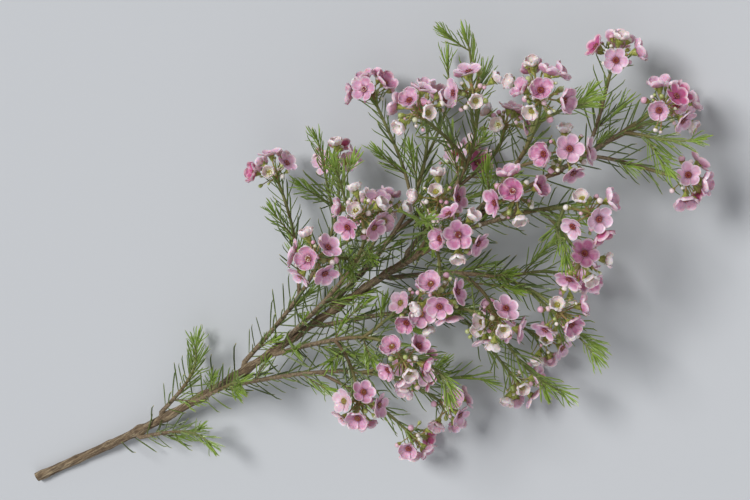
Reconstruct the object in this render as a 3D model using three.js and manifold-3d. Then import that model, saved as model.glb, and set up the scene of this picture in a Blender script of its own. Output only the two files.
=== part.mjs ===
// A cut waxflower stem, lying on a surface with its flowering head spread out.
// Millimetres, +Z up. The stem runs along +Y from its cut foot to the head, and the origin is
// under the middle of the whole plant, on the surface.
//
// The woody main stem carries sprays: side branches that fork into twigs. A twig ends in a head
// of stalked five-petalled blooms with a round bud, or in a leafy shoot. Needle leaves clothe
// the twigs. Each head and each leafy spray is one fused solid.

import * as THREE from "three";
import { mergeVertices } from "three/addons/utils/BufferGeometryUtils.js";
import Module from "manifold-3d";

const wasm = await Module();
wasm.setup();

// ---- driving dimensions, in millimetres and degrees ----

const middle = { x: 5.2, y: 282 }; // the point of the stem's run that the origin is under

const stem = {
  length: 470,
  footRadius: 3.2,
  topRadius: 1.25,
  rise: 36, // how far the head's branches hold the stem off the surface
  riseFrom: 15,
  riseTo: 360,
  sway: 7, // sideways bends
  swayEvery: 92,
  cutSlant: 0.55, // the foot is cut on the slant
  sides: 8,
  steps: 16,
};

// Where each spray leaves the stem, its turn round the stem (0 is +X, 90 is up), its lean off
// the stem and its length. One carries the stem's own line on to the top, and the last three
// are plain leafy shoots on the lower stem.
const sprays = [
  { at: 200, turn: 4, lean: 31, length: 150 },
  { at: 216, turn: 176, lean: 31, length: 154 },
  { at: 244, turn: 58, lean: 32, length: 132 },
  { at: 262, turn: 124, lean: 33, length: 136 },
  { at: 284, turn: 350, lean: 35, length: 138 },
  { at: 300, turn: 188, lean: 35, length: 140 },
  { at: 326, turn: 90, lean: 33, length: 118 },
  { at: 344, turn: 22, lean: 34, length: 120 },
  { at: 362, turn: 158, lean: 34, length: 118 },
  { at: 394, turn: 60, lean: 31, length: 102 },
  { at: 412, turn: 128, lean: 31, length: 98 },
  { at: 470, turn: 90, lean: 6, length: 74 },
  { at: 104, turn: 28, lean: 30, length: 66, plain: true },
  { at: 132, turn: 152, lean: 30, length: 70, plain: true },
  { at: 168, turn: 84, lean: 32, length: 68, plain: true },
];

// The twigs of a spray: where along it each one forks off, its turn about the spray, how far it
// leans, its length as a share of the spray's, and whether it flowers or is a leafy shoot.
const forks = [
  { from: 0.4, turn: 40, lean: 29, share: 0.48, flowers: true },
  { from: 0.6, turn: 215, lean: 33, share: 0.38, flowers: true },
  { from: 0.8, turn: 120, lean: 30, share: 0.36, flowers: false },
];
const crownForks = [
  { from: 0.2, turn: 10, lean: 42, share: 0.8, flowers: true },
  { from: 0.2, turn: 170, lean: 42, share: 0.8, flowers: true },
  { from: 0.4, turn: 85, lean: 38, share: 0.6, flowers: true },
  { from: 0.6, turn: 320, lean: 32, share: 0.6, flowers: false },
];
const turnEverySpray = 137.5; // each spray's forks stand further round than the last one's

const twig = {
  rootRadius: 1.5,
  forkRadius: 1.05,
  tipRadius: 0.9,
  shootTipRadius: 0.5,
  forkOnward: 0.4, // how far a fork's start keeps to its parent's line
  bow: 0.36, // how long a twig keeps to the direction of each end, as a share of its span
  sides: 4,
  steps: 5, // a twig that others fork from bends in five straight lengths, the others in three
  forkSteps: 3,
  gap: 0.35, // to what it grows from and to the head that it bears
};

const spacing = {
  head: 17.8, // the room that a head takes to each side
  shoot: 8,
  stemClear: 24,
  twigClear: 19, // from a twig's middle line to the middle of a head that it passes
  floor: 17.6,
  shootFloor: 12,
  passes: 90,
  bendPasses: 12,
  bendEvery: 0.1, // how often along a twig, as a share of it, it looks for heads to pass
};

// What draws a tip its way: its growth so far, outwards from the stem, and the light above.
const pull = { growth: 0.75, outwards: 0.5, light: 0.3 };

const head = {
  counts: [5, 5, 6], // blooms in a head
  stalk: 4, // from the twig's end to the heart of the head
  reach: 14, // from the heart to a bloom
  middle: 5, // from the heart to the middle of its blooms
  polar: 61, // how far the ring of blooms leans off the axis
  stray: 12, // how far a bloom strays from its place in the ring, and its reach
  reachStray: 3,
  axisRadius: 1.2, // the top bloom's stalk carries the others and is thicker at its foot
  firstStalk: 6.5, // how high on it the first bloom of the ring stands, and the rest below
  stalkEvery: 1.1,
};

const bloom = {
  radius: 7.1,
  sizeStray: 0.2,
  tilt: 10, // how far a bloom may face off its own stalk
  petals: 5,
  notch: 0.56, // the gap between petals, as a share of the radius
  shoulder: 21, // half a petal's width at its rounded end
  rise: 0.12, // how far the rim stands up, and the face is dished
  dish: 0.2,
  cup: 5.4, // the conical green cup behind the petals
  neckRadius: 0.62,
  footRadius: 0.45,
  youngShare: 0.2, // half-open blooms, smaller and deeper
  youngSize: 0.66,
  youngDepth: 1.6,
};

const bud = { radius: 1.9, reach: 11.5, polar: 96, sides: 6, neckRadius: 0.5 };

const needle = {
  length: 19,
  lengthStray: 0.4,
  radius: 0.55,
  lean: 42, // at the foot of a shoot, and straighter towards its tip
  straighten: 0.5,
  leanStray: 12,
  turn: 137.5, // from each needle to the next
  turnStray: 40,
  every: 28,
  shootEvery: 8.6,
  fromTip: 2,
  fromRoot: 10,
  clear: 0.3, // to what it doesn't grow from
};

const rest = { left: 5, right: 4, clear: 2.5 }; // the sprays whose lowest heads bear the plant

// A join that brings two corners nearer than this is made again, a nudge away.
const nudge = { finest: 0.012, least: 0.001, most: 30, turn: 7, move: 0.025 };

const seeds = { bloom: 200, needle: 900 };

// ---- helpers ----

const aside = new THREE.Vector3(1, 0, 0);
const along = new THREE.Vector3(0, 1, 0);
const up = new THREE.Vector3(0, 0, 1);
const radians = THREE.MathUtils.degToRad;

// A seeded draw from 0 to 1.
function seeded(seed) {
  let state = Math.imul(seed, 2654435761) >>> 0;
  return () => {
    state = (Math.imul(state, 1664525) + 1013904223) >>> 0;
    return state / 4294967296;
  };
}

// Two unit vectors square to the axis and to each other; right, fore and axis are right-handed.
function across(axis, reference = Math.abs(axis.z) < 0.9 ? up : along) {
  const right = new THREE.Vector3().crossVectors(axis, reference).normalize();
  return [right, new THREE.Vector3().crossVectors(axis, right)];
}

// The direction that a curve runs least along, so that rings set square to it never swing round.
function steady(curve) {
  const tangents = [0, 0.25, 0.5, 0.75, 1].map((t) => curve.getTangent(t));
  const most = (axis) => Math.max(...tangents.map((tangent) => Math.abs(tangent.dot(axis))));
  return [aside, along, up].reduce((best, axis) => (most(axis) < most(best) ? axis : best));
}

// The direction that leans off the axis by one angle and is turned about it by another.
function leaning(axis, lean, turn) {
  const [right, fore] = across(axis);
  return new THREE.Vector3()
    .addScaledVector(axis, Math.cos(radians(lean)))
    .addScaledVector(right, Math.sin(radians(lean)) * Math.cos(radians(turn)))
    .addScaledVector(fore, Math.sin(radians(lean)) * Math.sin(radians(turn)));
}

const step = (from, direction, length) => from.clone().addScaledVector(direction, length);

const towards = (from, to) => new THREE.Vector3().subVectors(to, from).normalize();

// ---- how the plant grows: its curves, tips and blooms as points and directions ----

function stemPoint(y) {
  const s = THREE.MathUtils.clamp((y - stem.riseFrom) / (stem.riseTo - stem.riseFrom), 0, 1);
  const lift = stem.rise * s * s * (3 - 2 * s);
  return new THREE.Vector3(stem.sway * Math.sin(y / stem.swayEvery), y, stem.footRadius + lift);
}

const stemRadius = (y) => THREE.MathUtils.lerp(stem.footRadius, stem.topRadius, y / stem.length);

// A tip is the end of a twig: a flowering head or a leafy shoot. Its centre is where the middle
// of its blooms or leaves first wants to be.
function firstTips() {
  const tips = [];
  sprays.forEach((spray, number) => {
    const crown = spray.at === stem.length;
    const root = stemPoint(spray.at);
    const out = new THREE.Vector3(Math.cos(radians(spray.turn)), 0, Math.sin(radians(spray.turn)));
    const heading = step(along.clone().multiplyScalar(Math.cos(radians(spray.lean))), out,
      Math.sin(radians(spray.lean)));
    const end = step(root, heading, spray.length);
    tips.push({ spray: number, from: 1, flowers: !spray.plain, leaves: root, centre: end });
    if (spray.plain) return;
    (crown ? crownForks : forks).forEach((fork) => {
      const turn = crown ? fork.turn : fork.turn + number * turnEverySpray;
      const leaves = root.clone().lerp(end, fork.from);
      const centre = step(leaves, leaning(heading, fork.lean, turn), fork.share * spray.length);
      tips.push({ spray: number, from: fork.from, flowers: fork.flowers, leaves, centre });
    });
  });
  return tips;
}

// Pushes the tips apart, off the surface and off the main stem, a little at a time.
function spread(tips) {
  const room = (tip) => (tip.flowers ? spacing.head : spacing.shoot);
  for (let pass = 0; pass < spacing.passes; pass++) {
    tips.forEach((a, i) => {
      tips.slice(i + 1).forEach((b) => {
        const short = room(a) + room(b) - a.centre.distanceTo(b.centre);
        if (short <= 0) return;
        const apart = towards(a.centre, b.centre);
        a.centre.addScaledVector(apart, -short / 2);
        b.centre.addScaledVector(apart, short / 2);
      });
    });
    tips.forEach((tip) => {
      const near = stemPoint(Math.min(tip.centre.y, stem.length));
      const short = spacing.stemClear - near.distanceTo(tip.centre);
      if (short > 0) tip.centre.addScaledVector(towards(near, tip.centre), short);
      tip.centre.z = Math.max(tip.centre.z, tip.flowers ? spacing.floor : spacing.shootFloor);
    });
  }
}

// Points each tip on along its growth, outwards and up to the light.
function aim(tip) {
  const core = stemPoint(Math.min(tip.centre.y, stem.length));
  tip.axis = new THREE.Vector3()
    .addScaledVector(towards(tip.leaves, tip.centre), pull.growth)
    .addScaledVector(towards(core, tip.centre), pull.outwards)
    .addScaledVector(up, pull.light)
    .normalize();
  tip.base = step(tip.centre, tip.axis, tip.flowers ? -head.middle - head.stalk : 0);
}

// The blooms of a head, one at the top and the others in a ring about it, and its bud. Each has
// a centre, the way it faces, a neck where its cup meets its stalk, and the stalk's foot.
function growBlooms(tip, number) {
  const draw = seeded(seeds.bloom + number);
  const count = head.counts[Math.floor(draw() * head.counts.length)];
  const heart = step(tip.base, tip.axis, head.stalk);
  const first = 360 * draw();
  tip.blooms = [];
  for (let i = 0; i < count; i++) {
    const polar = i === 0 ? head.stray * draw() : head.polar + head.stray * (draw() - 0.5);
    const turn = first + (360 * i) / (count - 1) + head.stray * (draw() - 0.5);
    const facing = leaning(tip.axis, polar, turn);
    const centre = step(heart, facing, head.reach + head.reachStray * (draw() - 0.5));
    const normal = leaning(facing, bloom.tilt * draw(), 360 * draw());
    const young = draw() < bloom.youngShare;
    const grown = 1 + bloom.sizeStray * (draw() - 0.5);
    const radius = bloom.radius * grown * (young ? bloom.youngSize : 1);
    const neck = step(centre, normal, -bloom.cup);
    tip.blooms.push({ centre, normal, neck, young, radius, spin: 72 * draw() });
  }
  const [top, ...ring] = tip.blooms;
  const rise = towards(tip.base, top.neck);
  top.foot = step(tip.base, rise, twig.gap);
  ring.forEach((flower, i) => {
    flower.foot = step(tip.base, rise, head.firstStalk - head.stalkEvery * i);
  });
  const facing = leaning(tip.axis, bud.polar, first + 180 / (count - 1));
  const centre = step(heart, facing, bud.reach);
  const foot = step(tip.base, rise, head.firstStalk - head.stalkEvery * (count - 1));
  tip.bud = { centre, normal: facing, neck: step(centre, facing, -bud.radius), foot, spin: 0 };
}

// A point of a bloom: how far out, how far round and how far forward of its centre.
function bloomPoint(flower, out, turn, forward) {
  const [right, fore] = across(flower.normal);
  return step(flower.centre, flower.normal, forward)
    .addScaledVector(right, out * Math.cos(radians(turn)))
    .addScaledVector(fore, out * Math.sin(radians(turn)));
}

// The edge of the five rounded petals, three points to a petal with the gap beside it.
function petalEdge(flower) {
  const depth = flower.young ? bloom.youngDepth : 1;
  const petalTurn = 360 / bloom.petals;
  const edge = [];
  for (let petal = 0; petal < bloom.petals; petal++) {
    const turn = flower.spin + petal * petalTurn;
    const rise = flower.radius * bloom.rise * depth;
    edge.push(bloomPoint(flower, flower.radius, turn - bloom.shoulder, rise));
    edge.push(bloomPoint(flower, flower.radius, turn + bloom.shoulder, rise));
    edge.push(bloomPoint(flower, flower.radius * bloom.notch, turn + petalTurn / 2, 0));
  }
  return edge;
}

// Lets the two bearing heads down on to the surface and keeps the others clear of it.
function settle(heads) {
  const bearing = [rest.left, rest.right].map((number) =>
    heads
      .filter((tip) => tip.spray === number)
      .reduce((low, tip) => (tip.centre.z < low.centre.z ? tip : low)),
  );
  heads.forEach((tip) => {
    const lowest = Math.min(...tip.blooms.flatMap(petalEdge).map((point) => point.z));
    const shift = bearing.includes(tip) ? -lowest : Math.max(rest.clear - lowest, 0);
    [tip, tip.bud, ...tip.blooms].forEach((moved) => {
      ["centre", "base", "neck", "foot"].forEach((key) => {
        if (moved[key]) moved[key].z += shift;
      });
    });
  });
}

// A twig's curve leaves in the direction given and ends along the tip's axis.
function twigCurve(start, startDirection, tip) {
  const reach = start.distanceTo(tip.base) * twig.bow;
  const leaving = step(start, startDirection, reach);
  return new THREE.CubicBezierCurve3(start, leaving, step(tip.base, tip.axis, -reach), tip.base);
}

// Bends a twig clear of the heads that it passes.
function bendClear(tip, heads) {
  for (let pass = 0; pass < spacing.bendPasses; pass++) {
    for (let t = spacing.bendEvery; t < 0.95; t += spacing.bendEvery) {
      heads.forEach((other) => {
        const point = tip.curve.getPoint(t);
        const short = spacing.twigClear - point.distanceTo(other.centre);
        if (other === tip || short <= 0) return;
        const away = towards(other.centre, point);
        tip.curve.v1.addScaledVector(away, short * (1 - t));
        tip.curve.v2.addScaledVector(away, short * t);
      });
    }
  }
}

function growTwigs(tips, heads) {
  let parent = null;
  tips.forEach((tip) => {
    const spray = sprays[tip.spray];
    const crown = spray.at === stem.length;
    const endRadius = tip.flowers ? twig.tipRadius : twig.shootTipRadius;
    if (tip.from < 1) {
      const fork = parent.getPoint(tip.from);
      const onward = parent.getTangent(tip.from).multiplyScalar(twig.forkOnward);
      tip.curve = twigCurve(fork, onward.add(towards(fork, tip.base)).normalize(), tip);
      tip.radii = [twig.forkRadius, endRadius];
    } else if (crown) {
      tip.curve = twigCurve(step(stemPoint(spray.at), along, twig.gap), along, tip);
      tip.radii = [stem.topRadius, endRadius];
    } else {
      const root = stemPoint(spray.at);
      const direction = towards(root, tip.centre);
      const out = step(direction, along, -direction.dot(along)).normalize();
      const start = step(root, out, stemRadius(spray.at) + twig.rootRadius + twig.gap);
      tip.curve = twigCurve(start, direction.add(along).normalize(), tip);
      tip.radii = [twig.rootRadius, endRadius];
    }
    bendClear(tip, heads);
    if (tip.from === 1) parent = tip.curve;
  });
}

function grow() {
  const tips = firstTips();
  spread(tips);
  tips.forEach(aim);
  const heads = tips.filter((tip) => tip.flowers);
  heads.forEach(growBlooms);
  settle(heads);
  growTwigs(tips, heads);
  return { tips, heads };
}

// The needles of a twig stand in a turning row from its tip back, closer on a leafy shoot.
function growNeedles(tip, number) {
  const draw = seeded(seeds.needle + number);
  const length = tip.curve.getLength();
  const every = tip.flowers ? needle.every : needle.shootEvery;
  const leaves = [];
  for (let back = needle.fromTip, i = 0; back < length - needle.fromRoot; back += every, i++) {
    const t = 1 - back / length;
    const straight = tip.flowers ? 1 : 1 - needle.straighten * t;
    const lean = needle.lean * straight + needle.leanStray * (draw() - 0.5);
    const turn = needle.turn * i + needle.turnStray * draw();
    leaves.push({
      root: insideTwig(tip, t),
      direction: leaning(tip.curve.getTangent(t), lean, turn),
      length: needle.length * (1 + needle.lengthStray * (draw() - 0.5)),
    });
  }
  return leaves;
}

// ---- solids ----

// A closed geometry as a solid for joining. Only positions count, and shared ones are merged.
function solid(geometry) {
  geometry.deleteAttribute("normal");
  geometry.deleteAttribute("uv");
  const merged = mergeVertices(geometry, 1e-4);
  const index = Array.from(merged.index.array);
  const triVerts = [];
  for (let i = 0; i < index.length; i += 3) {
    const [a, b, c] = index.slice(i, i + 3);
    if (a !== b && b !== c && c !== a) triVerts.push(a, b, c);
  }
  return new wasm.Manifold(
    new wasm.Mesh({
      numProp: 3,
      vertProperties: merged.attributes.position.array,
      triVerts: new Uint32Array(triVerts),
    }),
  );
}

// How near to each other the two nearest corners of a solid are.
function closest(made) {
  const place = made.getMesh().vertProperties;
  let least = Infinity;
  for (let i = 0; i < place.length; i += 3) {
    for (let j = 0; j < i; j += 3) {
      const apart = [0, 1, 2].map((k) => place[i + k] - place[j + k]);
      least = Math.min(least, Math.hypot(...apart));
    }
  }
  return least;
}

// Joins a piece on, turned or moved by one more nudge until the join leaves no sliver. A piece
// whose corners fall on the solid's own, however it is nudged, is left off.
function join(whole, makePiece) {
  let best = { joined: whole, gap: -1 };
  for (let times = 0; times < nudge.most && best.gap < nudge.finest; times++) {
    const joined = whole.add(makePiece(times));
    const gap = closest(joined);
    if (gap > best.gap) best = { joined, gap };
  }
  return best.gap > nudge.least ? best.joined : whole;
}

// A tapered rod bent along a curve, its sides turned about it by the spin. It ends in a point
// where the end radius is zero.
function rod(curve, startRadius, endRadius, sides, steps, spin) {
  const geometry = new THREE.CylinderGeometry(endRadius, startRadius, 1, sides, steps);
  geometry.rotateY(radians(spin));
  const place = geometry.attributes.position;
  const reference = steady(curve);
  for (let i = 0; i < place.count; i++) {
    const t = THREE.MathUtils.clamp(place.getY(i) + 0.5, 0, 1);
    const [right, fore] = across(curve.getTangent(t), reference);
    const point = curve.getPoint(t);
    point.addScaledVector(fore, place.getX(i)).addScaledVector(right, place.getZ(i));
    place.setXYZ(i, point.x, point.y, point.z);
  }
  return solid(geometry);
}

// The stem lies along Y, so a cylinder's own axes serve; a flat side is underneath.
function mainStemSolid() {
  const geometry = new THREE.CylinderGeometry(1, 1, 1, stem.sides, stem.steps);
  geometry.rotateY(Math.PI / stem.sides);
  const place = geometry.attributes.position;
  for (let i = 0; i < place.count; i++) {
    const t = place.getY(i) + 0.5;
    const radius = stemRadius(t * stem.length) / Math.cos(Math.PI / stem.sides);
    const point = stemPoint(t * stem.length);
    const slant = t < 0.5 / stem.steps ? stem.cutSlant * radius * (1 + place.getZ(i)) : 0;
    place.setXYZ(i, point.x + radius * place.getX(i), point.y + slant,
      point.z + radius * place.getZ(i));
  }
  return solid(geometry);
}

// One bloom or bud with its stalk, a single closed skin: a face, an edge, an underside that
// narrows to a three-cornered neck, and a stalk down to its foot.
function skin(flower, face, edge, neckRadius, footRadius) {
  const spokes = [0, 1, 2].map((corner) => flower.spin + 120 * corner + 180 / flower.sides);
  const down = towards(flower.neck, flower.foot);
  const ring = (centre, radius) =>
    spokes.map((turn) => {
      const spoke = bloomPoint(flower, 1, turn, 0).sub(flower.centre);
      return step(centre, step(spoke, down, -spoke.dot(down)).normalize(), radius);
    });
  const neck = 1 + edge.length;
  const share = edge.length / 3;
  const points = [face, ...edge, ...ring(flower.neck, neckRadius), ...ring(flower.foot, footRadius)];
  const index = [neck + 5, neck + 4, neck + 3];
  for (let i = 0; i < edge.length; i++) {
    const next = (i + 1) % edge.length;
    index.push(0, 1 + i, 1 + next, 1 + next, 1 + i, neck + Math.floor(i / share));
  }
  for (let corner = 0; corner < 3; corner++) {
    const [a, b] = [neck + corner, neck + ((corner + 1) % 3)];
    index.push(a, b, 1 + ((share * (corner + 1)) % edge.length), a, a + 3, b, b, a + 3, b + 3);
  }
  const geometry = new THREE.BufferGeometry().setFromPoints(points);
  return solid(geometry.setIndex(index));
}

function bloomSolid(flower, footRadius = bloom.footRadius) {
  const depth = flower.young ? bloom.youngDepth : 1;
  const face = bloomPoint(flower, 0, 0, -flower.radius * bloom.dish * depth);
  const petals = { ...flower, sides: bloom.petals };
  return skin(petals, face, petalEdge(flower), bloom.neckRadius, footRadius);
}

function budSolid(pearl) {
  const edge = Array.from({ length: bud.sides }, (_, i) =>
    bloomPoint(pearl, bud.radius, (360 * i) / bud.sides, 0),
  );
  const face = bloomPoint(pearl, 0, 0, bud.radius);
  return skin({ ...pearl, sides: bud.sides }, face, edge, bud.neckRadius, bloom.footRadius);
}

function headSolid(tip) {
  const [top, ...ring] = tip.blooms;
  const nudged = (flower, times) => {
    return { ...flower, foot: step(flower.foot, tip.axis, nudge.move * times) };
  };
  const bloomed = ring.reduce(
    (whole, flower) => join(whole, (times) => bloomSolid(nudged(flower, times))),
    bloomSolid(top, head.axisRadius),
  );
  return join(bloomed, (times) => budSolid(nudged(tip.bud, times)));
}

const twigSteps = (tip) => (tip.from === 1 ? twig.steps : twig.forkSteps);

const twigSolid = (tip, times = 0) =>
  rod(tip.curve, ...tip.radii, twig.sides, twigSteps(tip), nudge.turn * times);

// A point on the middle line of the twig's solid, which is straight between its bends.
function insideTwig(tip, t) {
  const steps = twigSteps(tip);
  const bend = Math.min(Math.floor(t * steps), steps - 1);
  const before = tip.curve.getPoint(bend / steps);
  return before.lerp(tip.curve.getPoint((bend + 1) / steps), t * steps - bend);
}

// A needle leaf is a slim three-sided spike, with its root sunk in the twig.
function needleSolid(leaf, { fat = 0, times = 0 } = {}) {
  const end = step(leaf.root, leaf.direction, leaf.length + fat);
  const line = new THREE.LineCurve3(leaf.root, end);
  return rod(line, needle.radius + fat, 0, 3, 1, nudge.turn * times);
}

// ---- the plant ----

const { tips, heads } = grow();
const nodes = new Map(); // each node's solid, by its name

// Whether a solid would touch another node.
function crowds(made, name) {
  const box = made.boundingBox();
  return [...nodes].some(([other, whole]) => {
    const { min, max } = whole.boundingBox();
    const far = [0, 1, 2].some((k) => box.min[k] > max[k] || box.max[k] < min[k]);
    return other !== name && !far && made.intersect(whole).volume() > 0;
  });
}

const numbered = (kind, number) => kind + "_" + String(number + 1).padStart(2, "0");

nodes.set("main_stem", mainStemSolid());
heads.forEach((tip, number) => nodes.set(numbered("bloom_head", number), headSolid(tip)));
tips.forEach((tip) => {
  const name = numbered("leafy_spray", tip.spray);
  const whole = nodes.get(name);
  nodes.set(name, whole ? join(whole, (times) => twigSolid(tip, times)) : twigSolid(tip));
});
tips.forEach((tip, number) => {
  const name = numbered("leafy_spray", tip.spray);
  growNeedles(tip, number).forEach((leaf) => {
    const low = step(leaf.root, leaf.direction, leaf.length).z < rest.clear;
    if (low || crowds(needleSolid(leaf, { fat: needle.clear }), name)) return;
    nodes.set(name, join(nodes.get(name), (times) => needleSolid(leaf, { times })));
  });
});

const finish = (color, roughness) =>
  new THREE.MeshStandardMaterial({ color, roughness, metalness: 0 });
const materials = {
  main_stem: finish(0x8a7458, 0.8),
  leafy_spray: finish(0x5f7a3a, 0.6),
  bloom_head: finish(0xd59cbd, 0.45),
};

function meshOf(made, name) {
  const { vertProperties, triVerts } = made.getMesh();
  const geometry = new THREE.BufferGeometry();
  geometry.setAttribute("position", new THREE.BufferAttribute(vertProperties, 3));
  geometry.setIndex(new THREE.BufferAttribute(triVerts, 1));
  geometry.computeVertexNormals();
  const kind = Object.keys(materials).find((key) => name.startsWith(key));
  const mesh = new THREE.Mesh(geometry, materials[kind]);
  mesh.name = name;
  return mesh;
}

const waxflowerStem = new THREE.Group();
waxflowerStem.name = "waxflower_stem";
nodes.forEach((made, name) => waxflowerStem.add(meshOf(made, name)));
waxflowerStem.position.set(-middle.x, -middle.y, 0);

export default waxflowerStem;
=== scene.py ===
# A cut waxflower stem lying on a pale floor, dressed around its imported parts.
# The plant grows here by the same rule as its parts, in metres, with the foot of the stem at
# y = 0, and every finished piece is moved so that the origin is under the plant's middle.

import math
from types import SimpleNamespace

import bpy
from mathutils import Matrix, Vector


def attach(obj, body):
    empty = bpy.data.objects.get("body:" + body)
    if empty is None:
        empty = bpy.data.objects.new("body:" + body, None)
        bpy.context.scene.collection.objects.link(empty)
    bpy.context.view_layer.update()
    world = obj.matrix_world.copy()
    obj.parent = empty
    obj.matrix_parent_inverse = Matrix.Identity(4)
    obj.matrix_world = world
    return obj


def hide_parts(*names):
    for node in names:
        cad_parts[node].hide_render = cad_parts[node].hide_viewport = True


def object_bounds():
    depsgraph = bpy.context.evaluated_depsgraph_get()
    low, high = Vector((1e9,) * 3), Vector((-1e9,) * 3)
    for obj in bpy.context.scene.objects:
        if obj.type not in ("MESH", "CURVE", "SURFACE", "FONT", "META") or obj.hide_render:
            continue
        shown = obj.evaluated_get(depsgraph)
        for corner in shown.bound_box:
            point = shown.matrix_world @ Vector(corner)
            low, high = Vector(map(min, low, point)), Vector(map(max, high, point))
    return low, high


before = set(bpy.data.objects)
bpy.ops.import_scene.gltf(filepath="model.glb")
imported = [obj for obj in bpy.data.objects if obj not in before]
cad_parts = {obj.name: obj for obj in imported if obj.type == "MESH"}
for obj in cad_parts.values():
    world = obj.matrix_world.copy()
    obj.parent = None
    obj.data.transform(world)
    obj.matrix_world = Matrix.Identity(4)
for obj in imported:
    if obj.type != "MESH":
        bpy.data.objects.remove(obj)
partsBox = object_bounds()
mm = 0.001
up, along = Vector((0, 0, 1)), Vector((0, 1, 0))
middle = Vector((5.2 * mm, 282 * mm, 0))  # the point of the stem's run that the origin is under

# how the plant grows

stem = {
    "length": 470 * mm,
    "footRadius": 3.2 * mm,
    "topRadius": 1.25 * mm,
    "rise": 36 * mm,  # how far the head's branches hold the stem off the floor
    "riseFrom": 15 * mm,
    "riseTo": 360 * mm,
    "sway": 7 * mm,
    "swayEvery": 92 * mm,
}

# where each spray leaves the stem, its turn round the stem, its lean and its length
# (the last three are plain leafy shoots)
sprayRows = [
    (200, 4, 31, 150),
    (216, 176, 31, 154),
    (244, 58, 32, 132),
    (262, 124, 33, 136),
    (284, 350, 35, 138),
    (300, 188, 35, 140),
    (326, 90, 33, 118),
    (344, 22, 34, 120),
    (362, 158, 34, 118),
    (394, 60, 31, 102),
    (412, 128, 31, 98),
    (470, 90, 6, 74),
    (104, 28, 30, 66),
    (132, 152, 30, 70),
    (168, 84, 32, 68),
]
crownSpray, firstPlain = 11, 12

# where each fork leaves its spray, its turn, its lean, its share of the spray's length, and
# whether it flowers
forks = [(0.4, 40, 29, 0.48, True), (0.6, 215, 33, 0.38, True), (0.8, 120, 30, 0.36, False)]
crownForks = [
    (0.2, 10, 42, 0.8, True),
    (0.2, 170, 42, 0.8, True),
    (0.4, 85, 38, 0.6, True),
    (0.6, 320, 32, 0.6, False),
]
turnEverySpray = 137.5

twig = {
    "rootRadius": 1.5 * mm,
    "forkRadius": 1.05 * mm,
    "tipRadius": 0.9 * mm,
    "shootTipRadius": 0.5 * mm,
    "forkOnward": 0.4,  # how much of its spray's heading a fork keeps at first
    "bow": 0.36,  # how far it keeps its heading at each end, in shares of its length
    "gap": 0.35 * mm,  # between it and the stem
}
# the room that tips keep round them, and how often they push each other and bend their twigs
spacing = {
    "head": 17.8 * mm,
    "shoot": 8 * mm,
    "stemClear": 24 * mm,  # from the stem to a tip
    "twigClear": 19 * mm,  # from a twig to the middle of another head
    "floor": 17.6 * mm,
    "shootFloor": 12 * mm,
    "passes": 90,
    "bendPasses": 12,
    "bendSteps": 9,
}
# what a tip's axis follows: its own growth, the way out from the stem, and the light above
pull = {"growth": 0.75, "outwards": 0.5, "light": 0.3}

head = {
    "counts": (5, 5, 6),  # how many flowers it may have
    "stalk": 4 * mm,  # from the twig's end to the hub that its flowers fan out from
    "reach": 14 * mm,  # from the hub to a flower
    "reachStray": 3 * mm,
    "middle": 5 * mm,  # from the hub to the middle of the head
    "polar": 61,  # how far the outer flowers lean from its axis
    "stray": 12,
    "firstStalk": 6.5 * mm,  # how far up the middle stalk the first side stalk leaves it
    "stalkEvery": 1.1 * mm,
}
bloom = {
    "radius": 7.1 * mm,
    "sizeStray": 0.2,
    "tilt": 10,
    "petals": 5,
    "rise": 0.12,  # how far the petals' edge stands over the middle, in radii of the flower
    "cup": 5.4 * mm,  # from the middle back to the neck
    "shoulder": 21,  # how many degrees each side of its own middle a petal is at its full reach
    "notch": 0.56,  # how far out two petals part, in radii of the flower
    "youngShare": 0.2,
    "youngSize": 0.66,
    "youngDepth": 1.6,
}
bearing = {"sprays": (5, 4), "clear": 2.5 * mm}  # the sprays whose lowest heads touch down
budPlace = {"reach": 11.5 * mm, "polar": 96, "radius": 1.9 * mm, "tone": 0.9}
seeds = {
    "bloom": 200,
    "tone": 40,
    "bud": 70,
    "petal": 5,
    "shoot": 61,
    "needle": 900,
    "stemLeaf": 950,
}


def seeded(seed):
    # the same draws from 0 to 1 in every run
    state = seed * 2654435761 % 2**32
    while True:
        state = (state * 1664525 + 1013904223) % 2**32
        yield state / 2**32


def stray(draw, width):
    return width * (next(draw) - 0.5)


def between(draw, least, most):
    return least + (most - least) * next(draw)


def across(axis):
    # two directions square to an axis and to each other
    right = axis.cross(up if abs(axis.z) < 0.9 else along).normalized()
    return right, axis.cross(right)


def leaning(axis, lean, turn):
    # the direction that leans away from an axis by so many degrees, at a turn round it
    right, fore = across(axis)
    lean, turn = math.radians(lean), math.radians(turn)
    side = math.cos(turn) * right + math.sin(turn) * fore
    return math.cos(lean) * axis + math.sin(lean) * side


def towards(start, end):
    return (end - start).normalized()


def stemPoint(y):
    # the middle of the stem, which rises from its foot to its head and sways a little
    s = min(max((y - stem["riseFrom"]) / (stem["riseTo"] - stem["riseFrom"]), 0), 1)
    lift = stem["rise"] * s * s * (3 - 2 * s)
    sway = stem["sway"] * math.sin(y / stem["swayEvery"])
    return Vector((sway, y, stem["footRadius"] + lift))


def stemRadius(y):
    share = y / stem["length"]
    return stem["footRadius"] + (stem["topRadius"] - stem["footRadius"]) * share


def curvePoint(points, t):
    a, b, c, d = points
    s = 1 - t
    return s * s * s * a + 3 * s * s * t * b + 3 * s * t * t * c + t * t * t * d


def curveHeading(points, t):
    step = 1e-4
    return towards(curvePoint(points, max(t - step, 0)), curvePoint(points, min(t + step, 1)))


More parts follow.
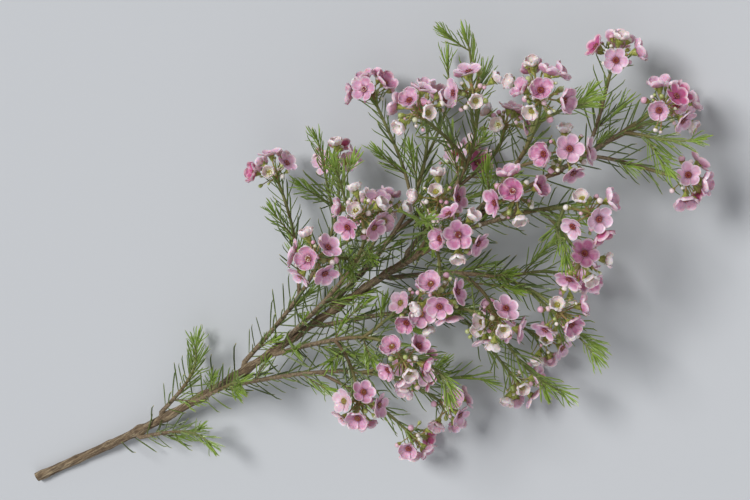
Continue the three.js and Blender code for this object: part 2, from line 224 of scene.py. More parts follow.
def firstTips():
    # the end of every spray and fork before they make room for each other
    tips = []
    for number, (at, turn, lean, length) in enumerate(sprayRows):
        crown, plain = number == crownSpray, number >= firstPlain
        root = stemPoint(at * mm)
        turn, lean = math.radians(turn), math.radians(lean)
        out = Vector((math.cos(turn), 0, math.sin(turn)))
        heading = math.cos(lean) * along + math.sin(lean) * out
        end = root + length * mm * heading
        rows = [(1, not plain, root, end)]
        forkRows = () if plain else crownForks if crown else forks
        for start, forkTurn, forkLean, share, flowers in forkRows:
            forkTurn += 0 if crown else number * turnEverySpray
            fork = root.lerp(end, start)
            forkEnd = fork + share * length * mm * leaning(heading, forkLean, forkTurn)
            rows.append((start, flowers, fork, forkEnd))
        for start, flowers, leaves, centre in rows:
            tip = SimpleNamespace(spray=number, start=start, flowers=flowers)
            tip.leaves, tip.centre = leaves, centre
            tips.append(tip)
    return tips


def spread(tips):
    # the tips push each other apart and keep clear of the stem and the floor
    for _ in range(spacing["passes"]):
        for i, a in enumerate(tips):
            for b in tips[i + 1 :]:
                clear = sum(spacing["head" if tip.flowers else "shoot"] for tip in (a, b))
                short = clear - (a.centre - b.centre).length
                if short > 0:
                    apart = towards(a.centre, b.centre)
                    a.centre = a.centre - apart * short / 2
                    b.centre = b.centre + apart * short / 2
        for tip in tips:
            near = stemPoint(min(tip.centre.y, stem["length"]))
            short = spacing["stemClear"] - (near - tip.centre).length
            if short > 0:
                tip.centre = tip.centre + short * towards(near, tip.centre)
            tip.centre.z = max(tip.centre.z, spacing["floor" if tip.flowers else "shootFloor"])


def aim(tip):
    # which way the tip faces, and where its twig ends
    core = stemPoint(min(tip.centre.y, stem["length"]))
    growth = pull["growth"] * towards(tip.leaves, tip.centre)
    out = pull["outwards"] * towards(core, tip.centre)
    tip.axis = (growth + out + pull["light"] * up).normalized()
    tip.base = tip.centre - (head["middle"] + head["stalk"] if tip.flowers else 0) * tip.axis


def growBlooms(tip, number):
    draw = seeded(seeds["bloom"] + number)
    count = head["counts"][int(next(draw) * len(head["counts"]))]
    hub = tip.base + head["stalk"] * tip.axis
    tip.first = 360 * next(draw)
    tip.blooms = []
    for i in range(count):
        polar = head["polar"] + stray(draw, head["stray"]) if i else head["stray"] * next(draw)
        turn = tip.first + 360 * i / (count - 1) + stray(draw, head["stray"])
        facing = leaning(tip.axis, polar, turn)
        centre = hub + (head["reach"] + stray(draw, head["reachStray"])) * facing
        tilt, tiltTurn = bloom["tilt"] * next(draw), 360 * next(draw)
        young = next(draw) < bloom["youngShare"]
        grown = 1 + stray(draw, bloom["sizeStray"])
        flower = SimpleNamespace(centre=centre, normal=leaning(facing, tilt, tiltTurn), young=young)
        flower.radius = bloom["radius"] * grown * (bloom["youngSize"] if young else 1)
        flower.neck = centre - bloom["cup"] * flower.normal
        flower.spin = 360 / bloom["petals"] * next(draw)
        tip.blooms.append(flower)
    tip.rise = towards(tip.base, tip.blooms[0].neck)
    upTo = lambda i: head["firstStalk"] - head["stalkEvery"] * (i - 1) if i else 0
    foot = lambda i: tip.base + upTo(i) * tip.rise
    for i, flower in enumerate(tip.blooms):
        flower.foot = foot(i)
    facing = leaning(tip.axis, budPlace["polar"], tip.first + 180 / (count - 1))
    centre = hub + budPlace["reach"] * facing
    tip.bud = SimpleNamespace(centre=centre, normal=facing, foot=foot(count))


def lowestEdge(tip):
    # the height of the lowest point of a head's petals
    lowest = math.inf
    for flower in tip.blooms:
        right, fore = across(flower.normal)
        rise = flower.radius * bloom["rise"] * (bloom["youngDepth"] if flower.young else 1)
        for i in range(bloom["petals"]):
            turn = flower.spin + i * 360 / bloom["petals"]
            edge = [(turn - bloom["shoulder"], 1, rise), (turn + bloom["shoulder"], 1, rise)]
            for angle, out, forward in [*edge, (turn + 180 / bloom["petals"], bloom["notch"], 0)]:
                angle = math.radians(angle)
                side = math.cos(angle) * right + math.sin(angle) * fore
                point = flower.centre + forward * flower.normal + flower.radius * out * side
                lowest = min(lowest, point.z)
    return lowest


def settleDown(heads):
    # two heads touch the floor and the others stay clear of it
    height = lambda tip: tip.centre.z
    groups = [[tip for tip in heads if tip.spray == spray] for spray in bearing["sprays"]]
    low = [min(group, key=height) for group in groups]
    for tip in heads:
        lowest = lowestEdge(tip)
        shift = -lowest if tip in low else max(bearing["clear"] - lowest, 0)
        for part in (tip, tip.bud, *tip.blooms):
            for place in ("centre", "base", "neck", "foot"):
                if hasattr(part, place):
                    setattr(part, place, getattr(part, place) + shift * up)


def twigCurve(start, heading, tip):
    reach = (start - tip.base).length * twig["bow"]
    return [start, start + reach * heading.normalized(), tip.base - reach * tip.axis, tip.base]


def bendClear(tip, heads):
    # the twig bows out of the way of other heads
    for _ in range(spacing["bendPasses"]):
        for i in range(1, spacing["bendSteps"] + 1):
            t = i / (spacing["bendSteps"] + 1)
            for other in heads:
                point = curvePoint(tip.curve, t)
                short = spacing["twigClear"] - (point - other.centre).length
                if other is not tip and short > 0:
                    away = towards(other.centre, point)
                    tip.curve[1] = tip.curve[1] + short * (1 - t) * away
                    tip.curve[2] = tip.curve[2] + short * t * away


def growTwigs(tips, heads):
    # each spray comes before its forks, which leave its curve
    for tip in tips:
        at = sprayRows[tip.spray][0] * mm
        root = stemPoint(at)
        if tip.start < 1:
            thick = twig["forkRadius"]
            start = curvePoint(parent, tip.start)
            onward = twig["forkOnward"] * curveHeading(parent, tip.start)
            heading = onward + towards(start, tip.base)
        elif tip.spray == crownSpray:
            thick = stem["topRadius"]
            start, heading = root + twig["gap"] * along, along
        else:
            thick = twig["rootRadius"]
            heading = towards(root, tip.centre)
            out = (heading - heading.dot(along) * along).normalized()
            start = root + (stemRadius(at) + thick + twig["gap"]) * out
            heading = heading + along
        tip.curve = twigCurve(start, heading, tip)
        tip.radii = (thick, twig["tipRadius" if tip.flowers else "shootTipRadius"])
        bendClear(tip, heads)
        if tip.start == 1:
            parent = tip.curve


def growPlant():
    tips = firstTips()
    spread(tips)
    for tip in tips:
        aim(tip)
    heads = [tip for tip in tips if tip.flowers]
    for number, tip in enumerate(heads):
        growBlooms(tip, number)
    settleDown(heads)
    growTwigs(tips, heads)
    return tips, heads


tips, heads = growPlant()
print(f"the plant has grown: {len(heads)} heads, {sum(len(tip.blooms) for tip in heads)} blooms")

# shared ways of working

smoothUnder = math.radians(50)  # edges flatter than this are shaded smooth
doubles = 0.002 * mm


def clearPick():
    bpy.ops.object.select_all(action="DESELECT")


def everything(part):
    return True


def named(piece, name):
    piece.name = piece.data.name = name
    return piece


def started(name, add, **sizes):
    # adds a primitive at its size and place, with nothing else selected
    clearPick()
    add(**sizes)
    bpy.ops.object.transform_apply(location=True, rotation=True, scale=True)
    return named(bpy.context.object, name)


def startedCone(name, sides, low, high, tall, foot=0.0):
    # an upright cone from the height of its foot
    place = (0, 0, foot + tall / 2)
    add = bpy.ops.mesh.primitive_cone_add
    return started(name, add, vertices=sides, radius1=low, radius2=high, depth=tall, location=place)


def pick(piece, test, kind="VERT"):
    # opens the piece for editing with only those points selected whose place passes the test, or
    # those faces whose normal does
    bpy.ops.object.mode_set(mode="EDIT")
    bpy.ops.mesh.select_mode(type=kind)
    bpy.ops.mesh.select_all(action="DESELECT")
    bpy.ops.object.mode_set(mode="OBJECT")
    for part in piece.data.vertices if kind == "VERT" else piece.data.polygons:
        part.select = test(part.co if kind == "VERT" else part.normal)
    bpy.ops.object.mode_set(mode="EDIT")


def closed():
    bpy.ops.object.mode_set(mode="OBJECT")


def shaped(piece, test, operator, kind="VERT", **values):
    # one edit of the points or faces that pass the test
    pick(piece, test, kind)
    operator(**values)
    closed()


def sized(piece, test, by, **values):
    shaped(piece, test, bpy.ops.transform.resize, value=by, **values)


def moved(piece, test, by):
    shaped(piece, test, bpy.ops.transform.translate, value=by)


def belled(piece, foot, tall, bell, flat=1.0):
    # rings of edges round an upright cone at shares of its height, each then made wider
    cut, near = bpy.ops.mesh.bisect, 0.02 * tall
    for share in bell:
        level = (0, 0, foot + share * tall)
        shaped(piece, everything, cut, "FACE", plane_co=level, plane_no=(0, 0, 1))
    for share, swell in bell.items():
        sized(piece, lambda co: abs(co.z - foot - share * tall) < near, (swell * flat, swell, 1))


def modified(piece, kind, **values):
    # adds a modifier with these values and applies it
    modifier = piece.modifiers.new(kind, kind)
    for name, value in values.items():
        setattr(modifier, name, value)
    bpy.context.view_layer.objects.active = piece
    bpy.ops.object.modifier_apply(modifier=modifier.name)


def outwards(piece):
    # doubles are merged and every face is turned out
    pick(piece, everything)
    bpy.ops.mesh.remove_doubles(threshold=doubles)
    bpy.ops.mesh.normals_make_consistent(inside=False)
    closed()
    return piece


def joined(pieces, name):
    clearPick()
    for piece in pieces:
        piece.select_set(True)
    bpy.context.view_layer.objects.active = pieces[0]
    bpy.ops.object.join()
    return named(bpy.context.object, name)


def mark(piece, name, rule):
    # writes a number on every point, worked out from its place, for the materials to read
    values = [rule(point.co) for point in piece.data.vertices]
    piece.data.attributes.new(name, "FLOAT", "POINT").data.foreach_set("value", values)


def copied(model, place, **marks):
    # a copy with its own mesh, set in place, with the same numbers written on all its points
    piece = model.copy()
    piece.data = model.data.copy()
    piece.data.transform(place)
    for name, value in marks.items():
        mark(piece, name, lambda co: value)
    bpy.context.collection.objects.link(piece)
    return piece


def removed(*models):
    for model in models:
        bpy.data.objects.remove(model)


def unwrapped(piece, rule):
    # lays the piece's own map out from the place of each corner
    layer = piece.data.uv_layers.active or piece.data.uv_layers.new(name="UVMap")
    for loop in piece.data.loops:
        layer.data[loop.index].uv = rule(piece.data.vertices[loop.vertex_index].co)


def roundShare(co):
    # how far round the upright axis a point is, from 0 to 1
    return math.atan2(co.y, co.x) / 2 / math.pi + 0.5


def everyOther(co, count, x=0.0):
    # true at every other one of so many points round an upright axis at x
    return round(math.atan2(co.y, co.x - x) / (2 * math.pi / count)) % 2 == 1


def rodded(name, lay, roundness, steps=12):
    # a closed rod along the splines that lay puts in a curve, as thick as their points say
    clearPick()
    bpy.ops.curve.primitive_bezier_curve_add()
    curve = bpy.context.object.data
    curve.splines.clear()
    lay(curve.splines)
    curve.dimensions, curve.use_fill_caps = "3D", True
    curve.bevel_depth, curve.bevel_resolution, curve.resolution_u = 1, roundness, steps
    bpy.ops.object.convert(target="MESH")
    return outwards(named(bpy.context.object, name))


def rooted(name, strands, steps, roundness=2):
    # tapered rods along Bezier strands, each four points and the radius at each end
    def lay(splines):
        for (a, b, c, d), radii in strands:
            spline = splines.new("BEZIER")
            spline.bezier_points.add(1)
            ends = zip(spline.bezier_points, (a, d), (2 * a - b, c), (b, 2 * d - c), radii)
            for point, place, before, after, radius in ends:
                point.handle_left_type = point.handle_right_type = "FREE"
                point.co, point.handle_left, point.handle_right = place, before, after
                point.radius = radius

    return rodded(name, lay, roundness, steps)


def spun(turn, axis):
    return Matrix.Rotation(math.radians(turn), 4, axis)


def standing(place, right, fore, normal):
    # stands a model at a place along its own three axes
    return Matrix.Translation(place) @ Matrix((right, fore, normal)).transposed().to_4x4()


def bloomMatrix(centre, normal, spin, size=1.0):
    return standing(centre, *across(normal), normal) @ spun(spin, "Z") @ Matrix.Scale(size, 4)


def handedOver(piece, look, slotName, *nodes):
    # the finished piece goes to its place in the frame and is tied to it
    sunk = lambda co: co.z < 0
    if any(sunk(point.co) for point in piece.data.vertices):  # that part lies flat on the floor
        sized(piece, sunk, (1, 1, 0), center_override=(0, 0, 0))
    piece.data.transform(Matrix.Translation(-middle))
    piece.data.materials.clear()
    piece.data.materials.append(looks[look])
    clearPick()
    piece.select_set(True)
    bpy.context.view_layer.objects.active = piece
    bpy.ops.object.shade_smooth_by_angle(angle=smoothUnder)
    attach(piece, "root")
    if nodes:
        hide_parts(*nodes)


# materials


def shade(red, green, blue):
    # a colour as it looks on a screen, 0 to 255, turned into light
    light = lambda value: value / 12.92 if value <= 0.04045 else ((value + 0.055) / 1.055) ** 2.4
    return (light(red / 255), light(green / 255), light(blue / 255), 1)


def isLink(value):
    return hasattr(value, "is_output")


def addNode(tree, kind, inputs=None, **settings):
    # a node with its settings, each input linked to an output or given a plain value
    node = tree.nodes.new(kind)
    for name, value in settings.items():
        setattr(node, name, value)
    for name, value in (inputs or {}).items():
        if isLink(value):
            tree.links.new(value, node.inputs[name])
        else:
            node.inputs[name].default_value = value
    return node


def fed(kind, inputs, **settings):
    # a node in the same tree as what feeds it
    tree = next(value.id_data for value in inputs.values() if isLink(value))
    return addNode(tree, kind, inputs, **settings).outputs


def blended(amount, first, second):
    return fed("ShaderNodeMix", {0: amount, 6: first, 7: second}, data_type="RGBA")[2]


def layered(look, first, *coats):
    # colours of a look laid one over the other, each by its own amount
    colour = look[first]
    for amount, name in coats:
        colour = blended(amount, colour, look[name])
    return colour


def ranged(value, low, high, least=0, most=1):
    inputs = {"Value": value, "From Min": low, "From Max": high, "To Min": least, "To Max": most}
    return fed("ShaderNodeMapRange", inputs, interpolation_type="SMOOTHSTEP")["Result"]


def sums(operation, *values):
    return fed("ShaderNodeMath", dict(enumerate(values)), operation=operation)[0]


def times(first, second):
    return sums("MULTIPLY", first, second)


def noise(place, scale, detail, **more):
    inputs = {"Vector": place, "Scale": scale, "Detail": detail, **more}
    return fed("ShaderNodeTexNoise", inputs)["Fac"]


def stretched(place, by):
    return fed("ShaderNodeVectorMath", {0: place, 1: by}, operation="MULTIPLY")[0]


def written(tree, name):
    return addNode(tree, "ShaderNodeAttribute", attribute_name=name).outputs["Fac"]


def objectPlace(tree):
    return addNode(tree, "ShaderNodeTexCoord").outputs["Object"]


def split(place):
    return fed("ShaderNodeSeparateXYZ", {"Vector": place})


def mapPlace(tree):
    return addNode(tree, "ShaderNodeUVMap", uv_map="UVMap").outputs["UV"]


def mapParts(tree):
    # across and along the piece's own map
    parts = split(mapPlace(tree))
    return parts["X"], parts["Y"]


def newGroup(name, build, **inputs):
    # an effect that several materials share; build gives what it puts out
    group = bpy.data.node_groups.new(name, "ShaderNodeTree")
    kind = "NodeSocketFloat"
    for label, value in inputs.items():
        group.interface.new_socket(label, in_out="INPUT", socket_type=kind).default_value = value
    results = build(group, addNode(group, "NodeGroupInput").outputs)
    for label in results:
        group.interface.new_socket(label, in_out="OUTPUT", socket_type=kind)
    addNode(group, "NodeGroupOutput", results)
    return group


def mottle(group, given):
    # soft patches and fine pores of living skin, from the object's own coordinates
    place = objectPlace(group)
    patches, pores = noise(place, given["Scale"], 3), noise(place, given["Pores"], 1)
    return {"Mask": ranged(patches, 0.35, 0.65), "Height": sums("ADD", patches, times(pores, 0.5))}


def grain(group, given):
    # long fissures and flakes, drawn out along Y, and small pale pores
    place = objectPlace(group)
    drawn = addNode(group, "ShaderNodeCombineXYZ", {"X": 1, "Y": given["Stretch"], "Z": 1})
    long = stretched(place, drawn.outputs[0])
    flakeScale = times(given["Scale"], 0.45)
    flakes = noise(long, flakeScale, 4)
    warts = fed("ShaderNodeTexVoronoi", {"Vector": place, "Scale": flakeScale})["Distance"]
    fissures = ranged(noise(long, given["Scale"], 5, Roughness=0.7), 0.58, 0.4)
    pores = ranged(warts, 0.2, 0.1)
    height = sums("ADD", sums("SUBTRACT", times(flakes, 0.8), fissures), times(pores, 0.7))
    flakes = ranged(flakes, 0.4, 0.62)
    return {"Fissures": fissures, "Flakes": flakes, "Pores": pores, "Height": height}


livingMottle = newGroup("living mottle", mottle, Scale=300, Pores=2500)
barkGrain = newGroup("bark grain", grain, Scale=500, Stretch=0.15)


def placedGroup(tree, group, values):
    return addNode(tree, "ShaderNodeGroup", values, node_tree=group).outputs


def skinOf(tree, patches, pores):
    # how many soft patches and pores lie in a metre
    return placedGroup(tree, livingMottle, {"Scale": patches, "Pores": pores})


def barkOf(tree, fissures, stretch):
    # how many fissures lie in a metre across, and how drawn out they are
    return placedGroup(tree, barkGrain, {"Scale": fissures, "Stretch": stretch})


petalLook = {
    "pale": shade(234, 196, 215),
    "deep": shade(190, 98, 148),
    "magenta": shade(186, 78, 128),
    "young": shade(240, 226, 220),
    "rim": shade(250, 234, 238),
    "throat": shade(122, 36, 78),
    "youngThroat": shade(196, 200, 150),
    "vein": shade(176, 92, 146),
    "veining": (16, 1.3, 1),  # how many veins lie across the petal and along it
    "veins": 0.45,  # how strong they are, and the pale rim, the throat and the rare magenta
    "rims": 0.66,
    "throats": 0.7,
    "magentas": 0.85,
    "skin": (420, 3000),
}


def petalPaint(tree):
    # pale or deep pink with veins and a pale rim, and a throat that darkens with age
    look, place = petalLook, mapPlace(tree)
    length = split(place)["Y"]
    off = fed("ShaderNodeVectorMath", {0: place, 1: (0.5, 0.5, 0)}, operation="DISTANCE")["Value"]
    tone, age = written(tree, "tone"), written(tree, "age")
    skin = skinOf(tree, *look["skin"])
    body = blended(ranged(age, 0.1, 0.45), look["young"], blended(tone, look["pale"], look["deep"]))
    body = blended(skin["Mask"], body, blended(0.4, body, look["pale"]))
    lines = noise(stretched(place, look["veining"]), 1, 2)
    vein = times(times(ranged(lines, 0.5, 0.68), look["veins"]), ranged(age, 0.1, 0.5))
    body = blended(vein, body, look["vein"])
    throat = blended(ranged(age, 0.15, 0.5), look["youngThroat"], look["throat"])
    body = blended(times(ranged(length, 0.3, 0.04), look["throats"]), body, throat)
    body = blended(ranged(tone, 0.94, 0.99, 0, look["magentas"]), body, look["magenta"])
    rim = times(ranged(off, 0.26, 0.5), ranged(length, 0.2, 0.6))
    body = blended(times(rim, look["rims"]), body, look["rim"])
    return body, sums("ADD", skin["Height"], times(lines, 1.5))


heartLook = {
    "young": shade(158, 158, 62),
    "ripe": shade(124, 28, 40),
    "old": shade(66, 16, 28),
    "amber": shade(178, 96, 48),
    "style": shade(196, 112, 128),
    "filament": shade(190, 96, 112),
    "anther": shade(92, 36, 36),
    "skin": (900, 4000),
    "stamenSkin": (1500, 6000),
}


def heartPaint(tree):
    # a wet cup of nectar, olive while young and wine red later, with a pale style
    out, isStyle = mapParts(tree)
    age = written(tree, "age")
    skin = skinOf(tree, *heartLook["skin"])
    colour = layered(
        heartLook,
        "young",
        (ranged(age, 0.3, 0.62), "ripe"),
        (times(ranged(out, 0.45, 0.65), ranged(age, 0.3, 0.6, 0.1, 0.7)), "amber"),
        (times(ranged(out, 0.8, 1), ranged(age, 0.2, 0.7, 0.15, 0.8)), "old"),
        (times(skin["Mask"], 0.3), "old"),
        (ranged(isStyle, 0.1, 0.3), "style"),
    )
    return colour, skin["Height"]


def stamenPaint(tree):
    skin = skinOf(tree, *heartLook["stamenSkin"])
    tip = ranged(mapParts(tree)[1], 0.66, 0.72)
    coats = ((tip, "anther"), (times(skin["Mask"], 0.3), "old"))
    return layered(heartLook, "filament", *coats), skin["Height"]


cupLook = {
    "green": shade(136, 148, 60),
    "light": shade(184, 188, 98),
    "flushed": shade(142, 84, 58),
    "dots": 2200,
    "skin": (700, 2800),
}


def cupPaint(tree):
    # ribbed green cups, oil dots on them, flushed red towards the petals
    tone, skin = written(tree, "tone"), skinOf(tree, *cupLook["skin"])
    flush = times(ranged(mapParts(tree)[1], 0.25, 1), ranged(tone, 0.3, 1, 0, 0.7))
    spots = {"Vector": objectPlace(tree), "Scale": cupLook["dots"]}
    dot = ranged(fed("ShaderNodeTexVoronoi", spots)["Distance"], 0.28, 0.12)
    coats = ((skin["Mask"], "light"), (flush, "flushed"), (times(dot, 0.5), "light"))
    return layered(cupLook, "green", *coats), sums("ADD", skin["Height"], dot)


pearlLook = {
    "white": shade(244, 238, 228),
    # the pink flush, also the colour of the painted shade in the folds
    "blush": shade(226, 160, 190),
    "green": shade(176, 190, 110),
    "folds": 5,  # how many folds lie round it, and how far they wind on their way up
    "winding": 1.2,
    "skin": (800, 3000),
}


def pearlPaint(tree):
    # folded petals of a bud: green when small, then white, then flushed pink, with painted shade in
    # pink along the folds
    (turn, height), tone = mapParts(tree), written(tree, "tone")
    skin = skinOf(tree, *pearlLook["skin"])
    winding = sums("ADD", times(turn, pearlLook["folds"]), times(height, pearlLook["winding"]))
    # where one petal folds over the next: a real dip in the relief, and the place of the painted
    # shade
    fold = ranged(sums("FRACT", winding), 0.82, 1)
    colour = layered(
        pearlLook,
        "green",
        (ranged(tone, 0.15, 0.4), "white"),
        (ranged(tone, 0.5, 1, 0, 0.9), "blush"),
        # painted shade: each fold is painted pinker and darker where the petals overlap
        (times(fold, 0.45), "blush"),
        (ranged(height, 0.3, 0.08), "green"),
    )
    return colour, sums("SUBTRACT", skin["Height"], fold)


leafLook = {
    "dark": shade(58, 76, 33),
    "mid": shade(108, 125, 57),
    "young": shade(148, 178, 68),
    "tip": shade(198, 184, 110),
    "root": shade(188, 196, 130),
    "skin": (500, 2600),
}


def needlePaint(tree):
    # each needle has a paler keel, a pale root and a small dry tip
    turn, length = mapParts(tree)
    skin = skinOf(tree, *leafLook["skin"])
    colour = layered(
        leafLook,
        "dark",
        (written(tree, "tone"), "mid"),
        (written(tree, "young"), "young"),
        (ranged(sums("PINGPONG", turn, 0.5), 0.38, 0.5, 0, 0.35), "root"),
        (times(skin["Mask"], 0.25), "mid"),
        (ranged(length, 0.14, 0, 0, 0.6), "root"),
        (ranged(length, 0.93, 1, 0, 0.8), "tip"),
    )
    return colour, skin["Height"]


woodLook = {
    "bark": shade(124, 104, 80),
    "pale": shade(176, 158, 128),
    "fissure": shade(70, 54, 42),
    "green": shade(134, 142, 82),
    "red": shade(124, 88, 62),
    "heartwood": shade(214, 190, 142),
    "pith": shade(150, 116, 78),
    "rings": 5,  # how many year rings the cut shows
    "twigGrain": (2200, 0.5),
    "barkGrain": (1300, 0.07),
}


def twigPaint(tree):
    # brown bark at the fork, then reddish, then green where the year's growth begins
    age, bark = written(tree, "age"), barkOf(tree, *woodLook["twigGrain"])
    colour = layered(
        woodLook,
        "bark",
        (times(bark["Flakes"], 0.6), "pale"),
        (ranged(age, 0.25, 0.65), "red"),
        (ranged(age, 0.35, 0.8), "green"),
        (times(bark["Fissures"], ranged(age, 0.2, 0.8, 0.55, 0.25)), "fissure"),
        (times(bark["Pores"], 0.5), "pale"),
    )
    return colour, bark["Height"]


def barkPaint(tree):
    # grey brown bark in long strips, and pale wood with rings where the stem is cut
    bark = barkOf(tree, *woodLook["barkGrain"])
    bare, ring = written(tree, "wood"), written(tree, "ring")
    colour = layered(
        woodLook,
        "bark",
        (times(bark["Flakes"], 0.75), "pale"),
        (times(bark["Fissures"], 0.8), "fissure"),
        (times(bark["Pores"], 0.45), "pale"),
        (ranged(split(objectPlace(tree))["Y"], -0.12, 0.2, 0, 0.4), "red"),
    )
    rings = ranged(sums("PINGPONG", times(ring, woodLook["rings"]), 0.5), 0.1, 0.4, 0.35, 0)
    cut = layered(woodLook, "heartwood", (rings, "pith"), (ranged(ring, 0.22, 0.08), "pith"))
    height = times(bark["Height"], ranged(bare, 0.4, 0.6, 1, 0.12))  # the cut is smooth
    return blended(ranged(bare, 0.4, 0.6), colour, cut), height


stalkLook = {"green": shade(148, 156, 84), "brown": shade(170, 128, 92), "skin": (600, 3000)}


def stalkPaint(tree):
    skin = skinOf(tree, *stalkLook["skin"])
    return layered(stalkLook, "green", (skin["Mask"], "brown")), skin["Height"]


def newMaterial(name, roughness, coat=0.0, coatRoughness=0.3, more=()):
    material = bpy.data.materials.new(name)
    material.use_nodes = True
    shader = material.node_tree.nodes["Principled BSDF"]
    plain = {"Roughness": roughness, "Coat Weight": coat, "Coat Roughness": coatRoughness}
    for socket, value in {**plain, **dict(more)}.items():
        shader.inputs[socket].default_value = value
    return material, shader


def painted(name, paint, strength, depth, *plain):
    # a material whose colour and relief come from its paint
    material, shader = newMaterial(name, *plain)
    tree = material.node_tree
    colour, height = paint(tree)
    bump = {"Height": height, "Strength": strength, "Distance": depth * mm}
    relief = addNode(tree, "ShaderNodeBump", bump)
    tree.links.new(colour, shader.inputs["Base Color"])
    tree.links.new(relief.outputs["Normal"], shader.inputs["Normal"])
    return material


thinPetal = {"Subsurface Weight": 0.3, "Subsurface Scale": 0.8 * mm}  # light comes through
# each material's name and paint, the strength of its relief and its depth in millimetres, its
# roughness, its coat and the coat's roughness
looks = {
    "petals": painted("waxy petal", petalPaint, 0.25, 0.12, 0.42, 0.12, 0.3, thinPetal),
    "hearts": painted("nectar cup", heartPaint, 0.3, 0.08, 0.25, 0.5, 0.12),
    "stamens": painted("stamen", stamenPaint, 0.4, 0.05, 0.5),
    "cups": painted("flower cup", cupPaint, 0.3, 0.08, 0.4, 0.15),
    "pearls": painted("bud pearl", pearlPaint, 0.35, 0.1, 0.32, 0.3, 0.2),
    "needles": painted("needle leaf", needlePaint, 0.25, 0.06, 0.34, 0.2),
    "twigs": painted("twig", twigPaint, 0.5, 0.15, 0.6),
    "stalks": painted("flower stalk", stalkPaint, 0.3, 0.08, 0.45, 0.1),
    "bark": painted("bark", barkPaint, 0.6, 0.35, 0.75, 0, 0.3, {"Specular IOR Level": 0.3}),
}
print("materials are mixed")

# the flowers

petal = {
    "reach": 4.25 * mm,  # from the flower's middle to the middle of the petal
    "halfWidth": 3.15 * mm,
    "points": 16,
    "rim": 0.7 * mm,
    "heelFrom": -0.3,  # where the heel and the tip begin, in half widths from the petal's middle
    "tipFrom": 0.6,
    "claw": 0.82,  # how much narrower the petal is at its heel
    "crinkle": 0.14 * mm,  # every other point of the rim stands this much higher
    "thickness": 0.19 * mm,
    "set": -1.15 * mm,  # the heel's height in the flower
    "overlap": 7,  # degrees that each petal is twisted, so that its neighbour lies over it
    "liftStray": 12,
    "turnStray": 8,
    "sizeStray": 0.16,
}
# how far each kind of petal lifts, how hollow it is, how its tip turns and its size
petalKinds = {
    "open": (16, 0.55 * mm, 0.15 * mm, 1.07),
    "cupped": (33, 0.85 * mm, 0.55 * mm, 1.06),
    "half": (54, 0.95 * mm, 0.55 * mm, 0.84),
}


def makePetal(name, lift, hollow, curl, size):
    reach, half = petal["reach"], petal["halfWidth"]
    heel, inside = (reach - half, 0, 0), half - 0.5 * petal["rim"]
    heelEnd, tipStart = reach + petal["heelFrom"] * half, reach + petal["tipFrom"] * half
    add, count, place = bpy.ops.mesh.primitive_circle_add, petal["points"], (reach, 0, 0)
    piece = started(name, add, vertices=count, radius=half, fill_type="NGON", location=place)
    pick(piece, everything, "FACE")
    bpy.ops.mesh.inset(thickness=petal["rim"], depth=0)
    bpy.ops.mesh.poke()
    closed()
    unwrapped(piece, lambda co: (0.5 + co.y / half / 2, (co.x - heel[0]) / half / 2))
    sized(piece, lambda co: co.x < heelEnd, (1, petal["claw"], 1))
    fromMiddle = lambda co: math.hypot(co.x - reach, co.y)
    moved(piece, lambda co: fromMiddle(co) < inside, (0, 0, -hollow))
    moved(piece, lambda co: co.x > tipStart, (-curl, 0, curl))
    onRim = lambda co: fromMiddle(co) > inside and co.x > heelEnd
    raised = lambda co: onRim(co) and everyOther(co, count, reach)
    moved(piece, raised, (0, 0, petal["crinkle"]))
    pick(piece, everything)
    bpy.ops.transform.resize(value=(size, size, size), center_override=heel)
    bpy.ops.transform.rotate(value=math.radians(lift), orient_axis="Y", center_override=heel)
    bpy.ops.transform.translate(value=(0, 0, petal["set"]))
    closed()
    modified(piece, "SOLIDIFY", thickness=petal["thickness"], offset=0)
    return outwards(piece)


heart = {
    "sides": 12,
    "radius": 1.8 * mm,
    "top": -0.72 * mm,
    "depth": 1.3 * mm,
    "rim": 0.45 * mm,
    "rimRise": 0.12 * mm,
    "slope": 0.5 * mm,
    "dish": 0.34 * mm,
    "style": 2.1 * mm,
    "youngSize": 0.88,
    "stamens": 10,
    "stamenLean": (30, 48),  # every other one leans further in
    "stamenOut": 0.97,
    "sunk": 0.1 * mm,
    "filament": 0.9 * mm,
    "anther": 0.21 * mm,
    "antherSize": (0.8, 0.8, 1.15),
    "thick": 0.16 * mm,  # a style or filament at its foot, and at its end
    "thin": 0.08 * mm,
}


def makeHeart():
    sides, radius, top, deep = heart["sides"], heart["radius"], heart["top"], heart["depth"]
    add, place = bpy.ops.mesh.primitive_cylinder_add, (0, 0, top - deep / 2)
    disc = started("heart disc", add, vertices=sides, radius=radius, depth=deep, location=place)
    pick(disc, lambda normal: normal.z > 0.9, "FACE")
    bpy.ops.mesh.inset(thickness=heart["rim"], depth=heart["rimRise"])
    bpy.ops.mesh.inset(thickness=heart["slope"], depth=-heart["dish"])
    bpy.ops.mesh.poke()
    closed()
    thick, thin, foot = heart["thick"], heart["thin"], top - heart["dish"]
    style = startedCone("style", 5, thick, thin, heart["style"], foot)
    unwrapped(disc, lambda co: (math.hypot(co.x, co.y) / radius, 0))
    unwrapped(style, lambda co: (0, 1))
    return joined([disc, style], "heart")


def makeStamens():
    filament, count = heart["filament"], heart["stamens"]
    stand = startedCone("filament", 3, heart["thick"], heart["thin"], filament)
    add, size, place = bpy.ops.mesh.primitive_uv_sphere_add, heart["anther"], (0, 0, filament)
    tip = started("anther", add, segments=4, ring_count=3, radius=size, location=place)
    sized(tip, everything, heart["antherSize"])
    unwrapped(stand, lambda co: (0, 0.5 * co.z / filament))
    unwrapped(tip, lambda co: (0, 1))
    model = joined([stand, tip], "stamen")
    out, top = heart["radius"] * heart["stamenOut"], heart["top"] - heart["sunk"]
    ring = []
    for i in range(count):
        leaned = Matrix.Translation((out, 0, top)) @ spun(-heart["stamenLean"][i % 2], "Y")
        ring.append(copied(model, spun(360 * i / count, "Z") @ leaned))
    removed(model)
    return joined(ring, "stamens")


